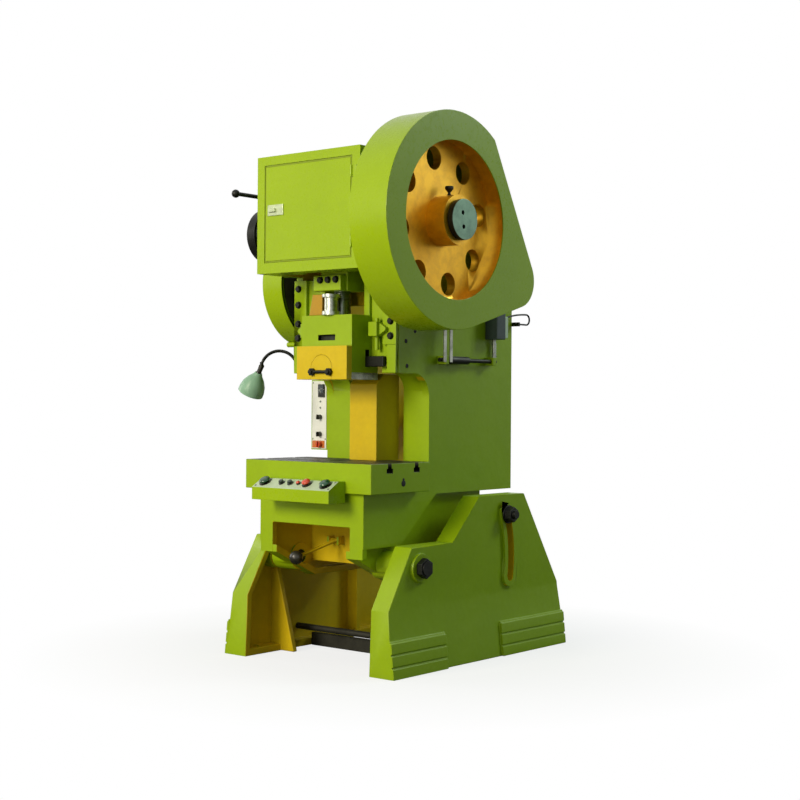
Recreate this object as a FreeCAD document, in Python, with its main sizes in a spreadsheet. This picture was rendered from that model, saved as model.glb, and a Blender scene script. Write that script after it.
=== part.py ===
import FreeCAD, Part
import math
import os
import Sketcher

# An inclinable open-back crank press of about 630 kN, in millimetres.
# X points to the operator's right, Y to the back, Z up.  The origin lies on the floor, in the
# middle of the four anchor bolts, so that X = 0 is the press's centre plane.

Vector = FreeCAD.Vector
doc = FreeCAD.newDocument("StampingPress")
sheet = doc.addObject("Spreadsheet::Sheet", "Sizes")

# ----------------------------------------------------------------------------------------
# Driving dimensions: alias, value, what it is
# ----------------------------------------------------------------------------------------
DIMENSIONS = [
    ("crank_y", -401.0, "crank axis and slide axis, along Y"),
    ("crank_z", 1831.0, "height of the crank axis"),
    ("throw", 45.0, "crank throw, half the stroke"),
    ("clearance", 0.4, "gap between pieces that move past each other"),
    ("fit", 0.05, "radial running clearance of a shaft in its bore"),
    ("frame_half", 292.0, "half width over the frame's side plates"),
    ("plate", 36.0, "frame side plate"),
    ("web", 28.0, "frame flanges and webs"),
    ("jaw_front", -592.0, "front of the lower jaw"),
    ("jaw_foot", 459.0, "bottom of the lower jaw's front flange"),
    ("jaw_side_foot", 502.0, "bottom of the lower jaw's side plates"),
    ("jaw_slant_y", -356.0, "where the side plate starts to rise to the back"),
    ("waist_y", -116.0, "where the rising edge meets the body's bottom edge"),
    ("waist_z", 708.0, "bottom edge of the body"),
    ("frame_back", 433.0, "back edge of the frame"),
    ("back_top", 1700.0, "height of the frame at its back edge"),
    ("crown_z", 2128.0, "top of the frame's head"),
    ("crown_back", -120.0, "back end of the level crown"),
    ("head_front", -500.0, "front of the head at the crank bearings"),
    ("guide_front", -376.0, "front of the side plates beside the slide"),
    ("cover_foot", 1641.0, "bottom of the crank cover"),
    ("throat_y", -170.0, "throat wall"),
    ("throat_top", 1221.0, "throat ceiling"),
    ("throat_arc", 100.0, "throat corner radius"),
    ("upright_inner", 152.0, "inner edge of an upright's front flange, from the centre"),
    ("table_z", 727.0, "top of the frame's table"),
    ("jaw_flange", 73.0, "width of the front flange beside the window under the table"),
    ("jaw_window_top", 586.0, "top of that window"),
    ("lug_inset", 24.0, "how far a pivot lug's inner face lies inside the side plate"),
    ("lug", 24.0, "pivot lug thickness"),
    ("lug_z", 342.0, "lowest edge of the pivot lugs"),
    ("lug_front", -349.0, "front end of that lowest edge"),
    ("lug_back", 40.0, "back end of that lowest edge"),
    ("bolster_half", 355.0, "half width of the bolster plate"),
    ("bolster_front", -620.0, "front of the bolster plate"),
    ("bolster_back", -240.0, "back of the bolster plate"),
    ("bolster", 123.0, "bolster plate thickness"),
    ("slot_first", -502.0, "first T-slot, along Y"),
    ("slot_pitch", 174.0, "distance between the T-slots"),
    ("slot_neck", 22.0, "T-slot neck width"),
    ("slot_head", 38.0, "T-slot head width"),
    ("drop_hole", 50.0, "radius of the drop hole through bolster and table"),
    ("slide_half", 142.0, "half width of the slide"),
    ("slide_front", -532.0, "front of the slide's lower block"),
    ("slide_back", -255.0, "back of the slide's upper part"),
    ("slide_low_back", -331.0, "back of the slide's lower block"),
    ("slide_step", 32.0, "how far the lower block stands proud"),
    ("slide_foot", 1192.0, "bottom of the slide"),
    ("slide_block", 141.0, "height of the slide's lower block"),
    ("slide_upper", 131.0, "height of the slide's upper part"),
    ("ear", 36.0, "depth of the slide's guide ridges"),
    ("ear_front", -360.0, "front of a guide ridge at its root"),
    ("ear_back", -258.0, "back of a guide ridge at its root"),
    ("cheek", 30.0, "thickness of the cheeks that carry the guide ridges"),
    ("cheek_rise", 142.0, "how far the guide ridges rise over the slide"),
    ("gib_foot", 1256.0, "bottom of the gibs"),
    ("gib_top", 1626.0, "top of the gibs"),
    ("slide_gap", 0.3, "gap between the slide and its gibs"),
    ("shank_bore", 25.0, "radius of the die shank bore"),
    ("bar_half", 238.0, "half length of the knock-out bar"),
    ("bar_z", 1247.0, "bottom of the knock-out bar at rest"),
    ("bar_high", 44.0, "height of the knock-out bar"),
    ("bar_thick", 22.0, "thickness of the knock-out bar"),
    ("bar_lift", 26.0, "free lift of the knock-out bar in its slot"),
    ("ball", 46.0, "radius of the adjusting screw's ball"),
    ("ball_rise", 196.0, "height of the ball's centre over the slide's bottom"),
    ("ball_gap", 13.0, "free depth under the ball"),
    ("screw", 36.0, "radius of the adjusting screw"),
    ("rod_gap", 103.0, "free height between the slide and the rod's clamp head"),
    ("rod_head", 66.0, "height of the clamp head"),
    ("rod_half", 75.0, "half width of the clamp head"),
    ("rod_eye", 106.0, "outer radius of the rod's big end"),
    ("pin", 62.0, "crank pin radius"),
    ("pin_half", 60.0, "half length of the crank pin"),
    ("crank_web", 40.0, "crank web thickness"),
    ("crank_disc", 112.0, "crank web radius"),
    ("journal", 58.0, "crank journal radius"),
    ("bush_wall", 14.0, "bearing bush wall"),
    ("boss", 98.0, "outer radius of a crank bearing boss"),
    ("boss_end", 330.0, "outer end of the bearing bosses"),
    ("gear_z", 92.0, "teeth of the bull gear"),
    ("pinion_z", 16.0, "teeth of the pinion"),
    ("module", 8.0, "gear module"),
    ("gear_in", 490.0, "inner face of the gear rim"),
    ("gear_out", 600.0, "outer face of the gear rim"),
    ("gear_web", 40.0, "gear web thickness"),
    ("gear_hub", 101.0, "gear hub radius"),
    ("hub_end", 622.0, "outer end of the gear hub"),
    ("gear_hole", 47.0, "radius of the holes in the gear web"),
    ("gear_hole_ring", 255.0, "radius at which those holes lie"),
    ("end_plate", 82.0, "radius of the clutch end plate"),
    ("end_plate_thick", 26.0, "thickness of the clutch end plate"),
    ("shaft_drop", 27.3, "angle of the countershaft under the crank axis, in degrees"),
    ("counter", 40.0, "countershaft radius"),
    ("counter_boss", 74.0, "outer radius of a countershaft boss"),
    ("guard_in", 422.0, "inner face of the gear cover"),
    ("guard_out", 610.0, "outer face of the gear cover"),
    ("guard", 439.0, "radius of the gear cover"),
    ("guard_window", 319.0, "radius of the opening in the gear cover"),
    ("guard_corner", 116.0, "radius of the gear cover's rear corner"),
    ("guard_sheet", 5.0, "gear cover sheet"),
    ("wheel", 255.0, "flywheel radius"),
    ("wheel_in", 472.0, "inner face of the flywheel, from the centre"),
    ("wheel_wide", 100.0, "width of the flywheel's rim"),
    ("belt", 10.0, "belt thickness"),
    ("belt_guard", 282.0, "radius of the belt guard round the flywheel"),
    ("motor_y", 590.0, "motor axis, along Y"),
    ("motor_z", 1250.0, "height of the motor axis"),
    ("motor", 108.0, "motor body radius"),
    ("motor_front", 422.0, "shaft end of the motor, from the centre"),
    ("motor_long", 290.0, "length of the motor body"),
    ("pulley", 70.0, "motor pulley radius"),
    ("cover_half", 290.0, "half width of the crank cover"),
    ("cover_front", -625.0, "front of the crank cover"),
    ("cover_top", 2137.0, "top of the crank cover"),
    ("sheet_metal", 4.0, "sheet of the covers"),
    ("door_half", 246.0, "half width of the crank cover's door"),
    ("door_foot", 1687.0, "bottom of the door"),
    ("door_top", 2098.0, "top of the door"),
    ("leg_inner", 350.0, "inner edge of a leg"),
    ("leg_outer", 441.0, "outer face of a leg above its knee"),
    ("leg_foot", 468.0, "outer face of a leg at the floor"),
    ("leg_wall", 30.0, "wall of a leg"),
    ("leg_front", -620.0, "front of a leg at the floor"),
    ("knee_y", -610.0, "front of a leg at its knee"),
    ("knee_z", 265.0, "height of the front knee"),
    ("step_front", -464.0, "front end of a leg's low step"),
    ("step_back", -194.0, "back end of the low step"),
    ("step_z", 512.0, "height of the low step"),
    ("top_front", -8.0, "front end of a leg's top"),
    ("top_back", 324.0, "back end of a leg's top"),
    ("leg_top", 697.0, "height of a leg"),
    ("heel_y", 593.0, "back of a leg at its rear knee"),
    ("heel_z", 282.0, "height of the rear knee"),
    ("leg_back", 626.0, "back of a leg at the floor"),
    ("pad_proud", 12.0, "how far the ribbed foot pads stand proud"),
    ("pad_high", 150.0, "height of the foot pads"),
    ("anchor_x", 385.0, "anchor holes, from the centre plane"),
    ("anchor_y", 520.0, "anchor holes, from the origin along Y"),
    ("anchor", 14.0, "anchor hole radius"),
    ("pivot_y", -410.0, "tilt pivot, along Y"),
    ("pivot_z", 425.0, "height of the tilt pivot"),
    ("pivot", 30.0, "tilt pivot shaft radius"),
    ("lock_ring", 624.0, "radius of the arc slot about the pivot"),
    ("spool", 40.0, "flange radius of the adjusting spool on the slide"),
    ("spool_x", 10.0, "adjusting spool, along X"),
    ("spool_y", -482.0, "adjusting spool, along Y"),
    ("lock_angle", 17.4, "angle of the lock bolt above the pivot, in degrees"),
    ("tilt", 24.0, "tilt range, in degrees"),
    ("lock_bolt", 18.0, "lock bolt radius"),
    ("lock_slot", 22.0, "half width of the arc slot"),
    ("desk_half", 217.0, "half width of the control desk"),
    ("desk_front", -720.0, "front of the control desk"),
    ("desk_ridge", -660.0, "back end of the desk's sloping face"),
    ("desk_foot", 689.0, "bottom of the control desk"),
    ("desk_lip", 52.0, "height of the sloping face's front edge over the desk's bottom"),
    ("desk_high", 88.0, "height of the control desk"),
    ("palm_x", 170.0, "palm buttons, from the centre plane"),
    ("press_travel", 5.0, "travel of a push button"),
    ("cabinet_wide", 98.0, "width of the electrical cabinet"),
    ("cabinet_deep", 90.0, "depth of the electrical cabinet"),
    ("cabinet_foot", 880.0, "bottom of the electrical cabinet"),
    ("cabinet_top", 1195.0, "top of the electrical cabinet"),
    ("box_right", 126.0, "right side of the throat box"),
    ("box_left", -26.0, "left side of the throat box"),
    ("box_front", -321.0, "front of the throat box"),
    ("box_top", 1175.0, "top of the throat box's front"),
    ("trip_out", 30.0, "trip shaft, out from the frame's side plate"),
    ("trip_z", 1281.0, "height of the trip shaft"),
    ("trip", 9.0, "trip shaft radius"),
    ("lamp_x", -414.0, "lamp joint, along X"),
    ("lamp_y", -470.0, "lamp joint, along Y"),
    ("lamp_z", 1252.0, "height of the lamp joint"),
    ("lamp_socket", 11.0, "radius of the lamp socket"),
    ("lamp", 57.0, "radius of the lamp shade's rim"),
]


class Size:
    """A length that knows its number and the spreadsheet formula that gives it."""

    def __init__(self, number, formula):
        self.number = number
        self.formula = formula

    def __add__(self, other):
        other = as_size(other)
        return Size(self.number + other.number, f"({self.formula} + {other.formula})")

    def __sub__(self, other):
        other = as_size(other)
        return Size(self.number - other.number, f"({self.formula} - {other.formula})")

    def __mul__(self, other):
        other = as_size(other)
        return Size(self.number * other.number, f"({self.formula} * {other.formula})")

    def __truediv__(self, other):
        other = as_size(other)
        return Size(self.number / other.number, f"({self.formula} / {other.formula})")

    def __neg__(self):
        return Size(-self.number, f"(0 - {self.formula})")

    def __radd__(self, other):
        return as_size(other) + self

    def __rsub__(self, other):
        return as_size(other) - self

    def __rmul__(self, other):
        return as_size(other) * self

    def __float__(self):
        return self.number


def as_size(value):
    """Return value as a Size, taking a plain number as it is."""
    if isinstance(value, Size):
        return value
    return Size(float(value), f"({float(value)!r})")


def sine(degrees):
    """Sine of an angle given in degrees."""
    degrees = as_size(degrees)
    return Size(math.sin(math.radians(degrees.number)), f"sin({degrees.formula} * 1 deg)")


def cosine(degrees):
    """Cosine of an angle given in degrees."""
    degrees = as_size(degrees)
    return Size(math.cos(math.radians(degrees.number)), f"cos({degrees.formula} * 1 deg)")


class SizeTable:
    """Gives each cell of the sheet as an attribute, such as S.crank_z."""

    def __init__(self, dimensions):
        for row, (alias, number, note) in enumerate(dimensions, start=1):
            sheet.set(f"A{row}", alias)
            sheet.set(f"B{row}", str(number))
            sheet.set(f"C{row}", note)
            sheet.setAlias(f"B{row}", alias)
            setattr(self, alias, Size(number, f"Sizes.{alias}"))


S = SizeTable(DIMENSIONS)
doc.recompute()

steps_made = [0]
NODES = {}


def working_name(kind):
    """A fresh internal name for a step of a piece."""
    steps_made[0] += 1
    return f"{kind}_{steps_made[0]:03d}"


def bind(thing, prop, size):
    """Bind one property to its formula."""
    thing.setExpression(prop, as_size(size).formula)


def place(thing, x, y, z):
    """Bind the three coordinates of a piece's placement."""
    bind(thing, "Placement.Base.x", x)
    bind(thing, "Placement.Base.y", y)
    bind(thing, "Placement.Base.z", z)


def block(x0, x1, y0, y1, z0, z1):
    """A box between two corners."""
    thing = doc.addObject("Part::Box", working_name("block"))
    bind(thing, "Length", as_size(x1) - x0)
    bind(thing, "Width", as_size(y1) - y0)
    bind(thing, "Height", as_size(z1) - z0)
    place(thing, x0, y0, z0)
    return thing


AXIS_TURN = {
    "x": FreeCAD.Rotation(Vector(0, 1, 0), 90),
    "y": FreeCAD.Rotation(Vector(1, 0, 0), -90),
    "z": FreeCAD.Rotation(),
}


def cylinder(axis, radius, start, end, across, up):
    """A cylinder along an axis; across and up are the other two coordinates, in X, Y, Z order."""
    thing = doc.addObject("Part::Cylinder", working_name("cylinder"))
    bind(thing, "Radius", radius)
    bind(thing, "Height", as_size(end) - start)
    thing.Placement = FreeCAD.Placement(Vector(0, 0, 0), AXIS_TURN[axis])
    spots = {"x": (start, across, up), "y": (across, start, up), "z": (across, up, start)}
    place(thing, *spots[axis])
    return thing


def cone(axis, radius, end_radius, start, end, across, up):
    """A truncated cone along an axis."""
    thing = doc.addObject("Part::Cone", working_name("cone"))
    bind(thing, "Radius1", radius)
    bind(thing, "Radius2", end_radius)
    bind(thing, "Height", as_size(end) - start)
    thing.Placement = FreeCAD.Placement(Vector(0, 0, 0), AXIS_TURN[axis])
    spots = {"x": (start, across, up), "y": (across, start, up), "z": (across, up, start)}
    place(thing, *spots[axis])
    return thing


def hexagon(axis, across_flats_half, start, end, across, up):
    """A hexagonal prism, for a bolt head or a nut."""
    thing = doc.addObject("Part::Prism", working_name("hexagon"))
    thing.Polygon = 6
    bind(thing, "Circumradius", as_size(across_flats_half) * 1.1547)
    bind(thing, "Height", as_size(end) - start)
    thing.Placement = FreeCAD.Placement(Vector(0, 0, 0), AXIS_TURN[axis])
    spots = {"x": (start, across, up), "y": (across, start, up), "z": (across, up, start)}
    place(thing, *spots[axis])
    return thing


def ball(radius, x, y, z):
    """A sphere."""
    thing = doc.addObject("Part::Sphere", working_name("ball"))
    bind(thing, "Radius", radius)
    place(thing, x, y, z)
    return thing


def fuse(*things):
    """Join things into one."""
    if len(things) == 1:
        return things[0]
    thing = doc.addObject("Part::MultiFuse", working_name("fuse"))
    thing.Shapes = list(things)
    thing.Refine = True
    return thing


def cut(base, *tools):
    """Cut tools out of base."""
    thing = doc.addObject("Part::Cut", working_name("cut"))
    thing.Base = base
    thing.Tool = tools[0] if len(tools) == 1 else fuse(*tools)
    thing.Refine = True
    return thing


def group(*things):
    """Keep things together as separate solids of one piece."""
    thing = doc.addObject("Part::Compound", working_name("group"))
    thing.Links = list(things)
    return thing


PLANES = {"x": "YZ_Plane", "y": "XZ_Plane", "z": "XY_Plane"}


def close_to(point, u, v):
    """Whether a point of a sketch plane lies at u, v."""
    return abs(point[0] - u) < 1e-4 and abs(point[1] - v) < 1e-4


def prism(axis, start, end, outline, rounds=()):
    """A padded outline.  Axis x takes (y, z) points, y takes (x, z) points, z takes (x, y) points.
    rounds lists (corner number, radius) for corners that are rounded."""
    body = doc.addObject("PartDesign::Body", working_name("profile"))
    sketch = body.newObject("Sketcher::SketchObject", body.Name + "_outline")
    plane = [item for item in body.Origin.OriginFeatures if item.Role == PLANES[axis]][0]
    sketch.AttachmentSupport = [(plane, "")]
    sketch.MapMode = "FlatFace"
    # The XZ plane's normal points along -Y, so a pad along Y starts at its far end.
    offset = -as_size(end) if axis == "y" else as_size(start)
    bind(sketch, "AttachmentOffset.Base.z", offset)
    corners = [(as_size(u), as_size(v)) for u, v in outline]
    count = len(corners)
    for here in range(count):
        first, second = corners[here], corners[(here + 1) % count]
        line = Part.LineSegment(Vector(first[0].number, first[1].number, 0),
                                Vector(second[0].number, second[1].number, 0))
        sketch.addGeometry(line, False)
    for here in range(count):
        sketch.addConstraint(Sketcher.Constraint("Coincident", here, 2, (here + 1) % count, 1))
    for here, (u, v) in enumerate(corners):
        for kind, name, size in (("DistanceX", "u", u), ("DistanceY", "v", v)):
            index = sketch.addConstraint(Sketcher.Constraint(kind, here, 1, size.number))
            sketch.renameConstraint(index, f"{name}{here}")
            bind(sketch, f"Constraints.{name}{here}", size)
    pad = body.newObject("PartDesign::Pad", body.Name + "_pad")
    pad.Profile = sketch
    bind(pad, "Length", as_size(end) - start)
    for corner, radius in rounds:
        round_corner(body, axis, corners[corner], radius)
    return body


def round_corner(body, axis, corner, radius):
    """Fillet the edge of a prism that runs through one corner of its outline."""
    doc.recompute()
    base = body.Tip
    pick = {"x": lambda p: (p.y, p.z), "y": lambda p: (p.x, p.z), "z": lambda p: (p.x, p.y)}[axis]
    names = []
    for number, edge in enumerate(base.Shape.Edges, start=1):
        ends = [pick(vertex.Point) for vertex in edge.Vertexes]
        if len(ends) == 2 and all(close_to(end, corner[0].number, corner[1].number) for end in ends):
            names.append(f"Edge{number}")
    fillet = body.newObject("PartDesign::Fillet", working_name("round"))
    fillet.Base = (base, names)
    bind(fillet, "Radius", radius)


def solid(shape):
    """A piece whose shape comes from Part's own functions."""
    thing = doc.addObject("Part::Feature", working_name("solid"))
    thing.Shape = shape
    return thing


def node(label, thing):
    """Name a finished piece."""
    thing.Label = label
    NODES[label] = thing
    return thing


def mirrored(side, low, high):
    """A span beside the centre plane: as given on the right, mirrored on the left."""
    if side > 0:
        return as_size(low), as_size(high)
    return -as_size(high), -as_size(low)


SIDES = (("left", -1), ("right", 1))

# Values that several pieces share
plate_inner = S.frame_half - S.plate
lug_inner = plate_inner - S.lug_inset
jaw_window_half = S.frame_half - S.jaw_flange
slide_mid = S.slide_foot + S.slide_block
slide_top = slide_mid + S.slide_upper
cheek_top = slide_top + S.cheek_rise
ball_z = S.slide_foot + S.ball_rise
rod_foot = slide_top + S.rod_gap
desk_lip = S.desk_foot + S.desk_lip
desk_top = S.desk_foot + S.desk_high
trip_x = S.frame_half + S.trip_out
slide_cheek_inner = S.slide_half - S.cheek
centre_distance = S.module * (S.gear_z + S.pinion_z) / 2
counter_y = S.crank_y + centre_distance * cosine(S.shaft_drop)
counter_z = S.crank_z - centre_distance * sine(S.shaft_drop)
lock_y = S.pivot_y + S.lock_ring * cosine(S.lock_angle)
lock_z = S.pivot_z + S.lock_ring * sine(S.lock_angle)
pin_z = S.crank_z + S.throw
bolster_top = S.table_z + S.bolster


# ----------------------------------------------------------------------------------------
# Base: two cast legs, cross beams, tie rods and the tilt pivots
# ----------------------------------------------------------------------------------------
def flare(z):
    """Outer face of a leg at a height under its knee."""
    return S.leg_foot - (S.leg_foot - S.leg_outer) * z / S.knee_z


def leg_outline(wall):
    """A leg's outline, drawn in by a wall's thickness."""
    return [
        (S.leg_front + wall, wall), (S.knee_y + wall, S.knee_z),
        (S.step_front + wall * 0.6, S.step_z - wall), (S.step_back + wall * 0.4, S.step_z - wall),
        (S.top_front + wall * 0.4, S.leg_top - wall), (S.top_back - wall * 0.6, S.leg_top - wall),
        (S.heel_y - wall, S.heel_z), (S.leg_back - wall, wall),
    ]


def arc_sector(side, radius, half, x0, x1, angle_low, angle_high):
    """A curved bar about the tilt pivot, with round ends."""
    def sector(sector_radius):
        thing = doc.addObject("Part::Cylinder", working_name("sector"))
        bind(thing, "Radius", sector_radius)
        bind(thing, "Height", x1 - x0)
        bind(thing, "Angle", angle_high - angle_low)
        turn = FreeCAD.Rotation(Vector(0, 1, 0), 90).multiply(
            FreeCAD.Rotation(Vector(0, 0, 1), 90 + angle_low.number))
        thing.Placement = FreeCAD.Placement(Vector(0, 0, 0), turn)
        place(thing, x0, S.pivot_y, S.pivot_z)
        return thing

    ring = cut(sector(radius + half), sector(radius - half))
    ends = []
    for angle in (angle_low, angle_high):
        ends.append(cylinder("x", half, x0, x1, S.pivot_y + radius * cosine(angle),
                             S.pivot_z + radius * sine(angle)))
    return fuse(ring, *ends)


def foot_pad(side, y0, y1):
    """A ribbed pad on the flared foot: a backing strip and three ribs, all leaning with the leg."""
    def leaning(z0, z1, proud):
        outline = [(side * flare(z0), z0), (side * (flare(z0) + proud), z0),
                   (side * (flare(z1) + proud), z1), (side * flare(z1), z1)]
        return prism("y", y0, y1, outline)

    backing = leaning(as_size(0), S.pad_high, S.pad_proud * 0.5)
    pitch = S.pad_high / 3
    ribs = [leaning(pitch * row, pitch * (row + 1) - 8, S.pad_proud) for row in range(3)]
    return [backing] + ribs


def leg(side):
    """One cast leg: an outer plate with flanges all round, open towards the middle."""
    x0, x1 = mirrored(side, S.leg_inner, S.leg_foot)
    shell = prism("x", x0, x1, leg_outline(as_size(0)))
    beyond = S.leg_foot + 60
    flare_cut = prism("y", S.leg_front - 50, S.leg_back + 50, [
        (side * S.leg_outer, S.knee_z), (side * S.leg_foot, 0), (side * beyond, 0),
        (side * beyond, S.leg_top + 50), (side * S.leg_outer, S.leg_top + 50)])
    h0, h1 = mirrored(side, S.leg_inner - 1, S.leg_outer - S.leg_wall)
    hollow = prism("x", h0, h1, leg_outline(S.leg_wall))
    casting = cut(cut(shell, flare_cut), hollow)

    r0, r1 = mirrored(side, S.leg_inner + 4, S.leg_outer - S.leg_wall)
    # The front rib widens towards the floor and stands proud of the leg's inner edge there.
    root = side * (S.leg_outer - S.leg_wall + 1)
    ribs = [prism("y", S.step_front + 62, S.step_front + 86, [
        (root, 0), (side * (S.leg_inner - 78), 0), (side * (S.leg_outer - S.leg_wall - 4), S.step_z - 42),
        (root, S.step_z - S.leg_wall)]),
            block(r0, r1, S.top_front + 118, S.top_front + 142, S.leg_wall, S.leg_top - S.leg_wall)]
    b0, b1 = mirrored(side, S.leg_inner, S.leg_outer + 12)
    pivot_boss = cylinder("x", S.pivot * 2, b0, b1, S.pivot_y, S.pivot_z)
    rim0, rim1 = mirrored(side, S.leg_outer - S.leg_wall, S.leg_outer + 12)
    low = S.lock_angle - S.tilt - 1.2
    high = S.lock_angle + 0.4
    slot_rim = arc_sector(side, S.lock_ring, S.lock_slot + 24, rim0, rim1, low, high)
    pads = foot_pad(side, S.leg_front + 1, S.leg_front + 358)
    pads += foot_pad(side, S.leg_back - 500, S.leg_back - 12)
    casting = fuse(casting, *ribs, pivot_boss, slot_rim, *pads)

    s0, s1 = mirrored(side, S.leg_inner - 2, S.leg_outer + 14)
    slot = arc_sector(side, S.lock_ring, S.lock_slot, s0, s1, low, high)
    pivot_bore = cylinder("x", S.pivot + S.fit, s0, s1, S.pivot_y, S.pivot_z)
    anchors = []
    for y in (-S.anchor_y, S.anchor_y):
        anchors.append(cylinder("z", S.anchor, -1, S.leg_wall + 1, side * S.anchor_x, y))
    return cut(casting, slot, pivot_bore, *anchors)


for side_name, side in SIDES:
    node(f"{side_name}_leg", leg(side))

# Two cross beams and two tie rods hold the legs' inner flanges apart.
beam_inner = S.leg_inner
rod_end = S.leg_outer - S.leg_wall
node("base_ties", group(
    block(-beam_inner, beam_inner, -205, -180, 0, 58),
    block(-beam_inner, beam_inner, 520, 550, 0, 130),
    cylinder("x", 14, -rod_end, rod_end, -230, 84),
    cylinder("x", 14, -rod_end, rod_end, 420, 92)))

nut_start = S.leg_outer + 12


def pivot_pin(side):
    """The pin in one leg that the frame's lug turns on."""
    x0, x1 = mirrored(side, lug_inner - 4, nut_start + 30)
    return cylinder("x", S.pivot, x0, x1, S.pivot_y, S.pivot_z)


node("pivot_pins", group(*[pivot_pin(side) for _, side in SIDES]))


def pivot_nut(side):
    """A nut on the outer end of a pivot pin."""
    x0, x1 = mirrored(side, nut_start, nut_start + 26)
    bore0, bore1 = mirrored(side, nut_start - 1, nut_start + 40)
    return cut(hexagon("x", S.pivot + 7, x0, x1, S.pivot_y, S.pivot_z),
               cylinder("x", S.pivot + S.fit, bore0, bore1, S.pivot_y, S.pivot_z))


node("pivot_nuts", group(*[pivot_nut(side) for _, side in SIDES]))


# ----------------------------------------------------------------------------------------
# Frame: one casting with two side plates, flanges, table, head and pivot lugs
# ----------------------------------------------------------------------------------------
def side_plate(side):
    """The C-shaped side plate of the frame."""
    x0, x1 = mirrored(side, plate_inner, S.frame_half)
    outline = [
        (S.jaw_front, S.jaw_side_foot), (S.jaw_slant_y, S.jaw_side_foot), (S.waist_y, S.waist_z),
        (S.frame_back, S.waist_z), (S.frame_back, S.back_top), (S.crown_back, S.crown_z),
        (S.head_front, S.crown_z), (S.head_front, S.cover_foot), (S.guide_front, S.cover_foot),
        (S.guide_front, S.throat_top), (S.throat_y, S.throat_top), (S.throat_y, S.table_z),
        (S.jaw_front, S.table_z),
    ]
    return prism("x", x0, x1, outline, rounds=[(10, S.throat_arc)])


def throat_flange(side):
    """The wide flange that lines the throat wall and turns forward under the ceiling."""
    x0, x1 = mirrored(side, S.upright_inner, S.frame_half)
    web = S.web
    wall = prism("x", x0, x1, [
        (S.throat_y, S.table_z), (S.throat_y + web, S.table_z), (S.throat_y + web, S.throat_top + web),
        (S.throat_y - S.throat_arc + 25, S.throat_top + web), (S.throat_y - S.throat_arc + 25, S.throat_top),
        (S.throat_y, S.throat_top)], rounds=[(5, S.throat_arc - 26), (2, S.throat_arc - 50)])
    c0, c1 = mirrored(side, S.slide_half + S.ear + 22, S.frame_half)
    ceiling = block(c0, c1, S.guide_front, S.throat_y, S.throat_top, S.throat_top + web)
    corner_cut = cylinder("x", S.throat_arc, c0 - 2, c1 + 2, S.throat_y - S.throat_arc,
                          S.throat_top - S.throat_arc)
    return [wall, cut(ceiling, corner_cut)]


def pivot_lug(side):
    """The lug that hangs from the frame to the tilt pivot and the lock bolt."""
    x0, x1 = mirrored(side, lug_inner, lug_inner + S.lug)
    plate = prism("x", x0, x1, [
        (S.jaw_front + 1, S.jaw_foot), (S.lug_front, S.lug_z), (S.lug_back, S.lug_z),
        (lock_y + 62, lock_z - 62), (lock_y + 62, S.waist_z + 20), (S.jaw_front + 1, S.table_z - 4)])
    # A flange along the lug's lower edges, turned towards the middle
    e0, e1 = mirrored(side, lug_inner - 36, lug_inner + 2)
    edge = prism("x", e0, e1, [
        (S.jaw_front + 1, S.jaw_foot), (S.lug_front, S.lug_z), (S.lug_back, S.lug_z),
        (S.lug_back, S.lug_z + S.web), (S.lug_front + 8, S.lug_z + S.web),
        (S.jaw_front + 1, S.jaw_foot + S.web + 4)])
    p0, p1 = mirrored(side, lug_inner - 8, S.leg_inner - 6)
    boss = cylinder("x", S.pivot * 2, p0, p1, S.pivot_y, S.pivot_z)
    l0, l1 = mirrored(side, lug_inner + 1, S.leg_inner - 6)
    lock_boss = cylinder("x", S.lock_bolt * 2, l0, l1, lock_y, lock_z)
    # A filler strip joins the lug to the side plate along the whole underside.
    f0, f1 = mirrored(side, lug_inner, plate_inner + 2)
    strip = block(f0, f1, S.waist_y, S.frame_back - 40, S.waist_z, S.waist_z + S.web)
    return [plate, edge, boss, lock_boss, strip]


def bearing_boss(side):
    """The bosses round the crank bearing and the countershaft bearing."""
    x0, x1 = mirrored(side, plate_inner - 24, S.boss_end)
    return [cylinder("x", S.boss, x0, x1, S.crank_y, S.crank_z),
            cylinder("x", S.counter_boss, x0, x1, counter_y, counter_z)]


frame_parts = []
frame_bores = []
for _, side in SIDES:
    frame_parts += [side_plate(side)] + throat_flange(side) + pivot_lug(side) + bearing_boss(side)
    f0, f1 = mirrored(side, S.frame_half - 96, S.frame_half)
    frame_parts.append(block(f0, f1, S.frame_back - S.web, S.frame_back, S.waist_z, S.back_top - 14))
    j0, j1 = mirrored(side, jaw_window_half, S.frame_half - 3)
    frame_parts.append(block(j0, j1, S.jaw_front, S.jaw_front + S.web, S.jaw_foot, S.table_z))
    bore0, bore1 = mirrored(side, lug_inner - 60, S.boss_end + 20)
    frame_bores += [
        cylinder("x", S.journal + S.bush_wall, bore0, bore1, S.crank_y, S.crank_z),
        cylinder("x", S.counter + S.bush_wall, bore0, bore1, counter_y, counter_z),
        cylinder("x", S.pivot + S.fit, bore0, bore1, S.pivot_y, S.pivot_z),
        cylinder("x", S.lock_bolt, bore0, bore1, lock_y, lock_z)]

# Two ears on the inner web carry the release lever.
lever_x = as_size(-76)
lever_y = as_size(-350)
lever_z = as_size(500)
for x in (lever_x - 34, lever_x + 22):
    frame_parts.append(block(x, x + 12, lever_y - 20, -329, lever_z - 18, lever_z + 18))
frame_bores.append(cylinder("x", 10 + S.fit, lever_x - 50, lever_x + 50, lever_y, lever_z))

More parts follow.
